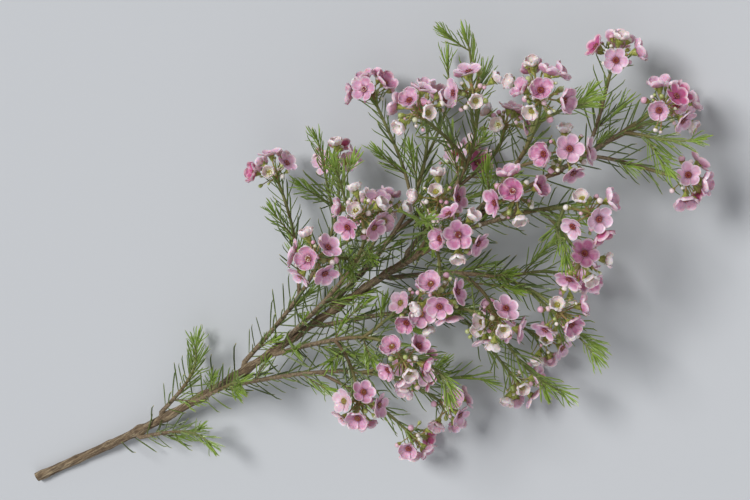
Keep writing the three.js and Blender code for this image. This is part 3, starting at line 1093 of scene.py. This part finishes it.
cup = {
    "neck": 0.62 * mm,
    "rim": 2.2 * mm,
    "top": -1.72 * mm,
    "bell": {0.3: 1.12, 0.65: 1.14, 0.88: 1.1},  # how much fuller it is at shares of its height
    "ribs": 5,
    "furrow": 0.86,
    "edge": 0.1 * mm,  # the furrows end this far from the rim and the neck
    "sepal": 0.85 * mm,
    "sepalOut": 0.3 * mm,
    "sepalRise": 12,
    "sepalThickness": 0.2 * mm,
}


def makeCup():
    top, rim, ribs, edge = cup["top"], cup["rim"], cup["ribs"], cup["edge"]
    neck = -bloom["cup"] - edge
    tall = top - neck
    body = startedCone("cup", 2 * ribs, cup["neck"], rim, tall, neck)
    belled(body, neck, tall, cup["bell"])
    furrow = lambda co: everyOther(co, 2 * ribs) and neck + edge < co.z < top - edge
    sized(body, furrow, (cup["furrow"], cup["furrow"], 1), center_override=(0, 0, 0))
    unwrapped(body, lambda co: (roundShare(co), (co.z - neck) / tall))
    add, place = bpy.ops.mesh.primitive_circle_add, (rim + cup["sepalOut"], 0, top)
    sepal = started("sepal", add, vertices=6, radius=cup["sepal"], fill_type="NGON", location=place)
    shaped(sepal, everything, bpy.ops.mesh.poke, "FACE")
    rise, turn = math.radians(cup["sepalRise"]), bpy.ops.transform.rotate
    shaped(sepal, everything, turn, value=rise, orient_axis="Y", center_override=(rim, 0, top))
    modified(sepal, "SOLIDIFY", thickness=cup["sepalThickness"], offset=0)
    unwrapped(sepal, lambda co: (0, 0.9))
    sepals = [copied(sepal, spun(360 * (i + 0.5) / ribs, "Z")) for i in range(ribs)]
    removed(sepal)
    return outwards(joined([body, *sepals], "cup"))


budShape = {
    "waist": 0.92,
    "fold": (0.9, 0.9, 0.96),
    "cup": (-1.8, 1.5, 0.32, 0.92),  # its foot, height, neck and rim, in radii of the bud
    "bell": {0.8 / 1.5: 1.22},
    "crown": 0.2,  # above this the petals fold over each other
    "small": (0.8, 1.75),  # the smaller buds' radius in millimetres, least and most
    "perHead": 14,
    "polar": (28, 108),
    "turnStray": 24,
    "reach": (7, 13.5),
    "fromFlower": 4.6 * mm,
    "overFloor": 1 * mm,
    "footEvery": 0.13 * mm,
}


def makePearl():
    meridians = 2 * bloom["petals"]
    add = bpy.ops.mesh.primitive_uv_sphere_add
    ball = started("pearl", add, segments=meridians, ring_count=7, radius=1)
    sized(ball, everything, (1, 1, budShape["waist"]))
    # the petals fold over each other: every other meridian sinks a little near the crown
    fold = lambda co: co.z > budShape["crown"] and everyOther(co, meridians)
    sized(ball, fold, budShape["fold"], center_override=(0, 0, 0))
    unwrapped(ball, lambda co: (roundShare(co), 0.5 + co.z / 2))
    return ball


def makeBudCup():
    foot, tall, neck, rim = budShape["cup"]
    body = startedCone("bud cup", 2 * bloom["petals"], neck, rim, tall, foot)
    belled(body, foot, tall, budShape["bell"])
    unwrapped(body, lambda co: (0, (co.z - foot) / tall))
    return body


# how old each flower is: deeper with age, olive heart first and wine red later

flowerAge = {
    "head": (0.3, 1.05),  # the age of a whole head, least and most
    "stray": 0.45,
    "open": 0.3,  # the least for an open flower
    "young": 0.18,  # the most for a young one
    "stamens": 0.12,  # when the stamens show
    "contrast": 1.3,
    "headShare": 0.6,  # how much of its tone a flower has from its head
    "toneGain": 0.8,
    "ageTone": 0.3,  # how much age adds to its tone, from this age on
    "toneFrom": 0.4,
    "deepest": 0.93,
    "magenta": 0.07,  # the share of magenta flowers, and of cupped ones
    "cupped": 0.5,
}


def ageFlowers():
    for number, tip in enumerate(heads):
        draw = seeded(seeds["tone"] + number)
        headAge = between(draw, *flowerAge["head"])
        headTone = next(draw)
        for flower in tip.blooms:
            age = min(max(headAge + stray(draw, flowerAge["stray"]), flowerAge["open"]), 1)
            flower.age = flowerAge["young"] * next(draw) if flower.young else age
            share = flowerAge["headShare"]
            tone = 0.5 + flowerAge["contrast"] * (share * headTone + (1 - share) * next(draw) - 0.5)
            aged = flowerAge["ageTone"] * (flower.age - flowerAge["toneFrom"])
            tone = flowerAge["toneGain"] * tone + aged
            flower.tone = min(max(tone, 0), flowerAge["deepest"])
            if next(draw) < flowerAge["magenta"] and not flower.young:
                flower.tone = 1
            if flower.young:
                flower.kind = "half"
            else:
                flower.kind = "cupped" if next(draw) < flowerAge["cupped"] else "open"


def growBuds():
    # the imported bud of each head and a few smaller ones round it
    for number, tip in enumerate(heads):
        draw = seeded(seeds["bud"] + number)
        hub = tip.base + head["stalk"] * tip.axis
        tip.bud.size, tip.bud.tone = budPlace["radius"], budPlace["tone"]
        tip.buds = [tip.bud]
        gapTurn = 360 / (len(tip.blooms) - 1)
        for i in range(budShape["perHead"]):
            polar = between(draw, *budShape["polar"])
            turn = tip.first + gapTurn * (0.5 + i) + stray(draw, budShape["turnStray"])
            facing = leaning(tip.axis, polar, turn)
            centre = hub + between(draw, *budShape["reach"]) * mm * facing
            size = between(draw, *budShape["small"]) * mm
            tone = next(draw)
            others = [(flower.centre, budShape["fromFlower"]) for flower in tip.blooms]
            others += [(bud.centre, size + bud.size) for bud in tip.buds]
            free = all((centre - other).length > clear for other, clear in others)
            foot = tip.bud.foot - budShape["footEvery"] * (i + 1) * tip.rise
            if free and centre.z > size + budShape["overFloor"]:
                bud = SimpleNamespace(centre=centre, normal=facing, foot=foot, size=size, tone=tone)
                tip.buds.append(bud)


ageFlowers()
growBuds()


def petalPlaces(flower, draw):
    heel = Vector((petal["reach"] - petal["halfWidth"], 0, petal["set"]))
    size = 1 if flower.young else flower.radius / bloom["radius"]
    place = bloomMatrix(flower.centre, flower.normal, flower.spin, size)
    for i in range(bloom["petals"]):
        turn = 360 * i / bloom["petals"] + stray(draw, petal["turnStray"])
        lift = -stray(draw, petal["liftStray"])
        grown = Matrix.Scale(1 + stray(draw, petal["sizeStray"]), 4)
        about = Matrix.Translation(heel) @ spun(lift, "Y") @ spun(petal["overlap"], "X") @ grown
        yield place @ spun(turn, "Z") @ about @ Matrix.Translation(-heel)


stalk = {
    "foot": 0.55 * mm,
    "neck": 0.42 * mm,
    "first": 1.0 * mm,
    "bud": 0.3 * mm,
    "bow": 0.4,
    "intoTwig": 1 * mm,
    "intoCup": 0.3 * mm,
    "toBud": 1.6,  # where it meets a bud, in radii of the bud from its middle
    "steps": 6,
}


def stalkStrand(foot, end, heading, side, thick, thin):
    # a stalk leaves along the head's rise and comes to the flower along its own axis
    reach = stalk["bow"] * (end - foot).length
    return [foot, foot + reach * side, end - reach * heading, end], (stalk[thick], stalk[thin])


def makeFlowers(spray):
    members = [tip for tip in heads if tip.spray == spray]
    made = {kind: [] for kind in ("petals", "hearts", "stamens", "cups", "pearls")}
    strands = []
    draw = seeded(seeds["petal"] + spray)
    for tip in members:
        for i, flower in enumerate(tip.blooms):
            where = (flower.centre, flower.normal, flower.spin)
            marks = {"tone": flower.tone, "age": flower.age}
            for place in petalPlaces(flower, draw):
                made["petals"].append(copied(models[flower.kind], place, **marks))
            inner = bloomMatrix(*where, heart["youngSize"] if flower.young else 1)
            made["hearts"].append(copied(models["heart"], inner, age=flower.age))
            if flower.age > flowerAge["stamens"]:
                made["stamens"].append(copied(models["stamens"], inner))
            made["cups"].append(copied(models["cup"], bloomMatrix(*where), tone=flower.tone))
            foot = flower.foot if i else tip.base - stalk["intoTwig"] * tip.rise
            end = flower.neck + stalk["intoCup"] * flower.normal
            thick = "foot" if i else "first"
            strands.append(stalkStrand(foot, end, flower.normal, tip.rise, thick, "neck"))
        for bud in tip.buds:
            place = bloomMatrix(bud.centre, bud.normal, 360 * next(draw), bud.size)
            made["pearls"].append(copied(models["pearl"], place, tone=bud.tone))
            made["cups"].append(copied(models["budCup"], place, tone=bud.tone))
            end = bud.centre - stalk["toBud"] * bud.size * bud.normal
            strands.append(stalkStrand(bud.foot, end, bud.normal, tip.rise, "neck", "bud"))
    label = f"{spray + 1:02d}"
    nodes = [f"bloom_head_{heads.index(tip) + 1:02d}" for tip in members]
    for kind, pieces in made.items():
        slotName = "foliage" if kind == "cups" else "petals"
        replaced = nodes if kind == "petals" else []
        handedOver(joined(pieces, f"{kind}_{label}"), kind, slotName, *replaced)
    handedOver(rooted(f"stalks_{label}", strands, stalk["steps"]), "stalks", "foliage")


models = {kind: makePetal(f"{kind} petal", *shape) for kind, shape in petalKinds.items()}
models.update(heart=makeHeart(), stamens=makeStamens(), cup=makeCup())
models.update(pearl=makePearl(), budCup=makeBudCup())
for spray in range(firstPlain):
    makeFlowers(spray)
removed(*models.values())
print("the flowers are open")

# the needle leaves

needle = {
    "length": 18 * mm,
    "halfWidth": 0.66 * mm,
    "halfDepth": 0.44 * mm,
    "foot": 0.6,  # how thick it is at its foot and its tip, in half widths
    "tip": 0.3,
    "bell": {0.12: 1.4, 0.5: 2.2, 0.85: 2.6},
    "every": 3.9 * mm,
    "closeEvery": 2.4 * mm,
    "everyStray": 0.3,
    "crowded": 42 * mm,  # the length of shoot on which the leaves stand close
    "lean": 46,
    "tipLean": 20,
    "leanStray": 16,
    "turnStray": 34,
    "lengthStray": 0.45,
    "fromRoot": 7 * mm,
    "fromFork": 6 * mm,  # that much further where the twig is a fork
    "fromAxil": 3 * mm,
    "inBark": 0.75,  # how far out from a twig's middle a leaf starts, in its radii
    "arched": 0.45,  # the share of arched leaves, and of those and the straight ones
    "straight": 0.8,
    "tuftTurn": 40,
    "tuftLeanStray": 1,
    "tuftLengthStray": 0.4,
}
# how far each ring of a needle and its tip bend towards the twig, for three habits
needleBends = {
    "straight": (0, 0.2, 0.3, 0.4),
    "arched": (0, 0.7, 1.7, 3.0),
    "hooked": (0, -0.3, -0.2, 0.9),
}
# towards the tip of a leafy shoot, and of a twig that flowers: how much steeper the leaves are,
# their length, how much shorter they get, their youth and how much younger they get
tipHabits = {False: (1, 1, 0.38, 0.15, 0.85), True: (0.35, 0.95, 0.25, 0, 0.35)}
# the leaves that close a shoot, and those round the foot of a head: how far from the end, how many,
# their lean, their length and their youth
tufts = {
    False: [(0, 5, 16, 11 * mm, 1), (1.5 * mm, 4, 34, 10 * mm, 1)],
    True: [(1.5 * mm, 8, 44, 13 * mm, 0.5)],
}
leafRoom = {
    "head": 26 * mm,  # further than this from its middle no flower of a head is near
    "behind": -1.8 * mm,
    "before": 14 * mm,
    "beside": 0.4 * mm,
    "floor": 0.8 * mm,
    "footFloor": 0.6 * mm,
    "tested": (1, 0.7, 0.4),  # where along a leaf it is tested
}


def makeNeedle(name, bends):
    length, wide = needle["length"], needle["halfWidth"]
    piece = startedCone(name, 4, needle["foot"] * wide, needle["tip"] * wide, length)
    belled(piece, 0, length, needle["bell"], needle["halfDepth"] / wide)
    for share, bend in zip((*needle["bell"], 1), bends):
        moved(piece, lambda co: abs(co.z - share * length) < 0.2 * mm, (-bend * mm, 0, 0))
    unwrapped(piece, lambda co: (roundShare(co), co.z / length))
    return outwards(piece)


def inBloom(point):
    # true where a point lies in the bowl of a flower or close in front of it
    for tip in heads:
        if (point - tip.centre).length < leafRoom["head"]:
            for flower in tip.blooms:
                off = point - flower.centre
                depth = off.dot(flower.normal)
                beside = (off - depth * flower.normal).length - flower.radius
                if leafRoom["behind"] < depth < leafRoom["before"] and beside < leafRoom["beside"]:
                    return True
    return False


def leafPlace(foot, axis, lean, turn, length):
    # nothing where the leaf would be in the floor or in a flower
    aimed, out = leaning(axis, lean, turn), leaning(axis, 90, turn)
    side = (out - out.dot(aimed) * aimed).normalized()
    end = foot + length * aimed
    if end.z < leafRoom["floor"] or foot.z < leafRoom["footFloor"]:
        return None
    if any(inBloom(foot.lerp(end, share)) for share in leafRoom["tested"]):
        return None
    size = Matrix.Scale(length / needle["length"], 4)
    return standing(foot, side, aimed.cross(side), aimed) @ size


def walked(curve, steps=80):
    # points along a twig, and how far each is from its root
    places = [curvePoint(curve, i / steps) for i in range(steps + 1)]
    far = [0]
    for a, b in zip(places, places[1:]):
        far.append(far[-1] + (b - a).length)
    return places, far


def placeAt(places, far, distance):
    # the twig's point at a distance from its root, and its heading there
    i = next((k for k in range(1, len(far) - 1) if far[k] >= distance), len(far) - 1)
    share = (distance - far[i - 1]) / max(far[i] - far[i - 1], 1e-9)
    return places[i - 1].lerp(places[i], share), towards(places[i - 1], places[i])


def leavesOn(tip, draw):
    # crossed pairs along a twig
    steep, full, shorter, young, younger = tipHabits[tip.flowers]
    places, far = walked(tip.curve)
    total = far[-1]
    fromRoot = needle["fromRoot"] + (needle["fromFork"] if tip.start < 1 else 0)
    distance = fromRoot if tip.start else needle["fromAxil"]
    step = 0
    while distance < total:
        near = max(0, 1 - (total - distance) / needle["crowded"])
        foot, axis = placeAt(places, far, distance)
        lean = needle["lean"] + (needle["tipLean"] - needle["lean"]) * near * steep
        thick, thin = tip.radii
        radius = needle["inBark"] * (thick + (thin - thick) * distance / total)
        for side in (0, 180):
            turn = 90 * step + side + stray(draw, needle["turnStray"])
            leaned = lean + stray(draw, needle["leanStray"])
            length = needle["length"] * (1 + stray(draw, needle["lengthStray"]))
            length *= full - shorter * near
            root = foot + radius * leaning(axis, 90, turn)
            yield root, axis, leaned, turn, length, young + younger * near
        step += 1
        close = needle["closeEvery" if near > 0 and not tip.flowers else "every"]
        distance += close * (1 + stray(draw, needle["everyStray"]))


def tuft(foot, axis, draw, count, lean, length, young):
    for i in range(count):
        turn = 360 * i / count + needle["tuftTurn"] * next(draw)
        leaned = lean * (1 + stray(draw, needle["tuftLeanStray"]))
        yield foot, axis, leaned, turn, length * (1 + stray(draw, needle["tuftLengthStray"])), young


sideShoot = {
    "every": 26 * mm,
    "everyStray": 0.6,
    "length": (10, 26),  # millimetres, least and most
    "lean": 44,
    "leanStray": 14,
    "onward": 0.5,  # how much its tip turns along the twig, and up to the light
    "light": 0.25,
    "radius": 0.5 * mm,
    "tipRadius": 0.35 * mm,
    "leaves": 8 * mm,  # how far its leaves reach on
    "clear": 21 * mm,  # how far a shoot keeps from the middle of a head
    "floor": 5 * mm,
    "fromRoot": 16 * mm,
    "fromTip": 6 * mm,
}


def growSideShoots():
    # short leafy shoots in the axils of the twigs
    draw = seeded(seeds["shoot"])
    shoots = []
    low, high = (Vector(corner) + middle for corner in partsBox)
    for tip in tips:
        places, far = walked(tip.curve)
        distance = sideShoot["fromRoot"]
        turn = 360 * next(draw)
        while distance < far[-1] - sideShoot["fromTip"]:
            foot, axis = placeAt(places, far, distance)
            length = between(draw, *sideShoot["length"]) * mm
            heading = leaning(axis, sideShoot["lean"] + stray(draw, sideShoot["leanStray"]), turn)
            bent = (heading + sideShoot["onward"] * axis + sideShoot["light"] * up).normalized()
            end = foot + length * (0.5 * heading + 0.5 * bent)
            reach = end + sideShoot["leaves"] * bent
            gaps = [(point - other.centre).length for other in heads for point in (end, reach)]
            free = min(gaps) > sideShoot["clear"]
            inside = all(low[k] < reach[k] < high[k] for k in range(3))
            if free and inside and min(end.z, reach.z) > sideShoot["floor"]:
                shoot = SimpleNamespace(spray=tip.spray, start=0, flowers=False)
                shoot.base, shoot.axis = end, bent
                shoot.curve = [foot, foot + length / 3 * heading, end - length / 3 * bent, end]
                shoot.radii = (sideShoot["radius"], sideShoot["tipRadius"])
                shoots.append(shoot)
            turn += turnEverySpray
            distance += sideShoot["every"] * (1 + stray(draw, sideShoot["everyStray"]))
    return shoots


sideShoots = growSideShoots()


def needleKind(share):
    if share < needle["arched"]:
        return "arched"
    return "straight" if share < needle["straight"] else "hooked"


def makeNeedles(spray):
    draw = seeded(seeds["needle"] + spray)
    for tip in [tip for tip in (*tips, *sideShoots) if tip.spray == spray]:
        wanted = list(leavesOn(tip, draw))
        for back, *habit in tufts[tip.flowers]:
            wanted += tuft(tip.base - back * tip.axis, tip.axis, draw, *habit)
        for *leaf, young in wanted:
            kind, tone = next(draw), next(draw)
            place = leafPlace(*leaf)
            if place:
                yield copied(leafModels[needleKind(kind)], place, young=young, tone=tone)


stemLeaf = {
    "from": 78 * mm,
    "every": (8, 13),  # millimetres, least and most
    "length": (16, 25),
    "lean": 52,
    "leanStray": 24,
    "turnStray": 50,
    "kept": 0.35,  # the share of leaves that is left at the foot, and how much more at the top
    "keptMore": 0.5,
    "inBark": 0.9,
    "arched": 0.5,
    "tone": 0.6,
}


def stemLeaves():
    # what the picker left on the bare stem between the sprays
    draw = seeded(seeds["stemLeaf"])
    y = stemLeaf["from"]
    step = 0
    while y < stem["length"]:
        foot, axis = stemPoint(y), towards(stemPoint(y), stemPoint(y + 2 * mm))
        for side in (0, 180):
            turn = 90 * step + side + stemLeaf["turnStray"] * next(draw)
            lean = stemLeaf["lean"] + stray(draw, stemLeaf["leanStray"])
            length = between(draw, *stemLeaf["length"]) * mm
            kept, tone = next(draw), next(draw)
            root = foot + stemLeaf["inBark"] * stemRadius(y) * leaning(axis, 90, turn)
            place = leafPlace(root, axis, lean, turn, length)
            if place and kept < stemLeaf["kept"] + stemLeaf["keptMore"] * y / stem["length"]:
                model = leafModels["arched" if tone < stemLeaf["arched"] else "straight"]
                yield copied(model, place, young=0.0, tone=tone * stemLeaf["tone"])
        step += 1
        y += between(draw, *stemLeaf["every"]) * mm


leafModels = {kind: makeNeedle(f"{kind} needle", bends) for kind, bends in needleBends.items()}
for spray in range(len(sprayRows)):
    handedOver(joined(list(makeNeedles(spray)), f"needles_{spray + 1:02d}"), "needles", "foliage")
handedOver(joined(list(stemLeaves()), "needles_stem"), "needles", "foliage")
removed(*leafModels.values())
print("the needles are out")

# the wood

wood = {
    "collar": 1.9 * mm,
    "collarEnd": 1.02,  # in radii of the spray
    "collarBelow": 7 * mm,  # where a spray's collar starts under it, and the crown's
    "crownBelow": 4 * mm,
    "collarRise": 0.8,  # how far up towards the spray's root it keeps to the stem
    "collarBack": 2.5 * mm,  # how far before and past the spray's start it bends and ends
    "collarOn": 3 * mm,
    "twigSteps": 30,
    "twigRough": 0.22 * mm,
    "twigGrain": 2.4 * mm,
    "stemRough": 0.55 * mm,
    "stemGrain": 6 * mm,
    "stemPoints": 170,
    "stemRoundness": 6,
    "below": 6 * mm,  # the stem is made this much longer at its foot, which the cut takes off
    "under": 1 * mm,  # how far under the crown it ends
    "stemSize": 0.97,
    "scar": 0.9 * mm,  # how much fuller it is where a spray leaves
    "scarLength": 5 * mm,
    "knots": 0.45 * mm,
    "knotEvery": 5.2 * mm,
    "knotSharpness": 6,
    "cut": 1.5 * mm,
    "cutSlant": 0.55,
    "rings": (0.34 * mm, 0.7 * mm, 0.7 * mm),
}


def roughened(piece, strength, size):
    # small knots and dents
    cloud = bpy.data.textures.new(piece.name, "CLOUDS")
    cloud.noise_scale = size
    modified(piece, "DISPLACE", texture=cloud, texture_coords="LOCAL", strength=strength)


def makeTwigs(spray):
    members = [tip for tip in tips if tip.spray == spray]
    shoots = [shoot for shoot in sideShoots if shoot.spray == spray]
    strands = [(tip.curve, tip.radii) for tip in (*members, *shoots)]
    first = members[0]
    at = sprayRows[spray][0] * mm
    core = stemPoint(at)
    lower = stemPoint(at - wood["crownBelow" if spray == crownSpray else "collarBelow"])
    start, onward = first.curve[0], towards(first.curve[0], first.curve[1])
    before, after = start - wood["collarBack"] * onward, start + wood["collarOn"] * onward
    radii = (wood["collar"], first.radii[0] * wood["collarEnd"])
    strands.append(([lower, lower.lerp(core, wood["collarRise"]), before, after], radii))
    piece = rooted(f"twigs_{spray + 1:02d}", strands, wood["twigSteps"])
    roughened(piece, wood["twigRough"], wood["twigGrain"])
    longest = max((tip.base - core).length for tip in members)
    mark(piece, "age", lambda co: (co - core).length / longest)
    return piece


def stemSwell(y):
    # fuller where a spray leaves, and at old leaf scars
    swell = 0
    for at, *_ in sprayRows:
        swell += wood["scar"] * math.exp(-(((y - at * mm) / wood["scarLength"]) ** 2))
    return swell + wood["knots"] * max(0, math.sin(y / wood["knotEvery"])) ** wood["knotSharpness"]


def makeStem():
    def lay(splines):
        spline = splines.new("POLY")
        count, below = wood["stemPoints"], wood["below"]
        spline.points.add(count)
        for i, point in enumerate(spline.points):
            y = -below + (stem["length"] + below - wood["under"]) * i / count
            point.co = (*(stemPoint(max(y, 0)) + min(y, 0) * along), 1)
            point.radius = stemRadius(max(y, 0)) * wood["stemSize"] + stemSwell(y)

    piece = rodded("stem_bark", lay, wood["stemRoundness"])
    roughened(piece, wood["stemRough"], wood["stemGrain"])
    # the foot is cut off on a slant and shows its wood
    slant = Vector((0, -1, wood["cutSlant"])).normalized()
    through = stemPoint(0) + wood["cut"] * along
    plane = {"plane_co": through, "plane_no": slant, "use_fill": True, "clear_outer": True}
    shaped(piece, everything, bpy.ops.mesh.bisect, "FACE", **plane)
    outline = [point.co.copy() for point in piece.data.vertices if point.select]
    core = sum(outline, Vector()) / len(outline)
    bpy.ops.object.mode_set(mode="EDIT")
    for thickness in wood["rings"]:
        bpy.ops.mesh.inset(thickness=thickness, depth=0)
    bpy.ops.mesh.poke()
    closed()
    # the cut's points carry wood = 1 inside the ring of bark
    onCut = lambda co: abs((co - core).dot(slant)) < 0.05 * mm
    inside = lambda co: onCut(co) and all((co - edge).length > 0.02 * mm for edge in outline)
    mark(piece, "ring", lambda co: (co - core).length / stem["footRadius"])
    mark(piece, "wood", lambda co: 1.0 if inside(co) else 0.0)
    return piece


for spray in range(len(sprayRows)):
    handedOver(makeTwigs(spray), "twigs", "bark", f"leafy_spray_{spray + 1:02d}")
handedOver(makeStem(), "bark", "bark", "main_stem")
print("the wood is grown")

# floor, light and camera

view = {
    "lean": 60,  # how far the stem leans to the right of straight up
    "tilt": 30,  # from straight above towards the flowers
    "lens": 85,
    "aim": (-0.024, 0.0684, 0.05),
    "distance": 1.0,
}
# how far each light stands to the view's top and right and up, its breadth and its strength
lights = {"key": (0.8, -0.45, 1.5, 24, 2.3), "fill": (-0.7, 0.9, 1.3, 70, 0.5)}
room = {"size": 24, "floor": shade(195, 197, 200), "sky": shade(228, 232, 238), "skyStrength": 0.37}


def makeFloor():
    clearPick()
    bpy.ops.mesh.primitive_plane_add(size=room["size"])
    floor = bpy.context.object
    floor.name = "floor"
    more = {"Specular IOR Level": 0.25, "Base Color": room["floor"]}
    floor.data.materials.append(newMaterial("pale table", 0.7, more=more)[0])


def viewAxes():
    # right, top and back of the view: from above, a little towards the flowers
    tilt = math.radians(view["tilt"])
    back = math.cos(tilt) * up + math.sin(tilt) * along
    stemWay = (along - along.dot(back) * back).normalized()
    top = Matrix.Rotation(math.radians(view["lean"]), 3, back) @ stemWay
    return top.cross(back), top, back


def makeCamera():
    right, top, back = viewAxes()
    camera = bpy.data.objects.new("camera", bpy.data.cameras.new("camera"))
    bpy.context.collection.objects.link(camera)
    camera.data.lens = view["lens"]
    camera.data.sensor_width = 36
    camera.data.clip_start = 0.01
    camera.matrix_world = standing(Vector(view["aim"]) + view["distance"] * back, right, top, back)
    bpy.context.scene.camera = camera


def makeLight():
    # even light from far off, as from broad softboxes, and a pale room
    right, top, _ = viewAxes()
    for name, (towardsTop, towardsRight, high, breadth, strength) in lights.items():
        source = towardsTop * top + towardsRight * right + high * up
        bpy.ops.object.light_add(type="SUN", location=source)
        lamp = bpy.context.object
        lamp.name = name
        lamp.data.angle = math.radians(breadth)
        lamp.data.energy = strength
        lamp.rotation_euler = (-source).to_track_quat("-Z", "Y").to_euler()
    world = bpy.data.worlds.new("studio")
    bpy.context.scene.world = world
    world.use_nodes = True
    background = world.node_tree.nodes["Background"]
    background.inputs["Color"].default_value = room["sky"]
    background.inputs["Strength"].default_value = room["skyStrength"]


makeFloor()
makeCamera()
makeLight()
bpy.context.scene.view_settings.view_transform = "Standard"
print("light and camera are set")
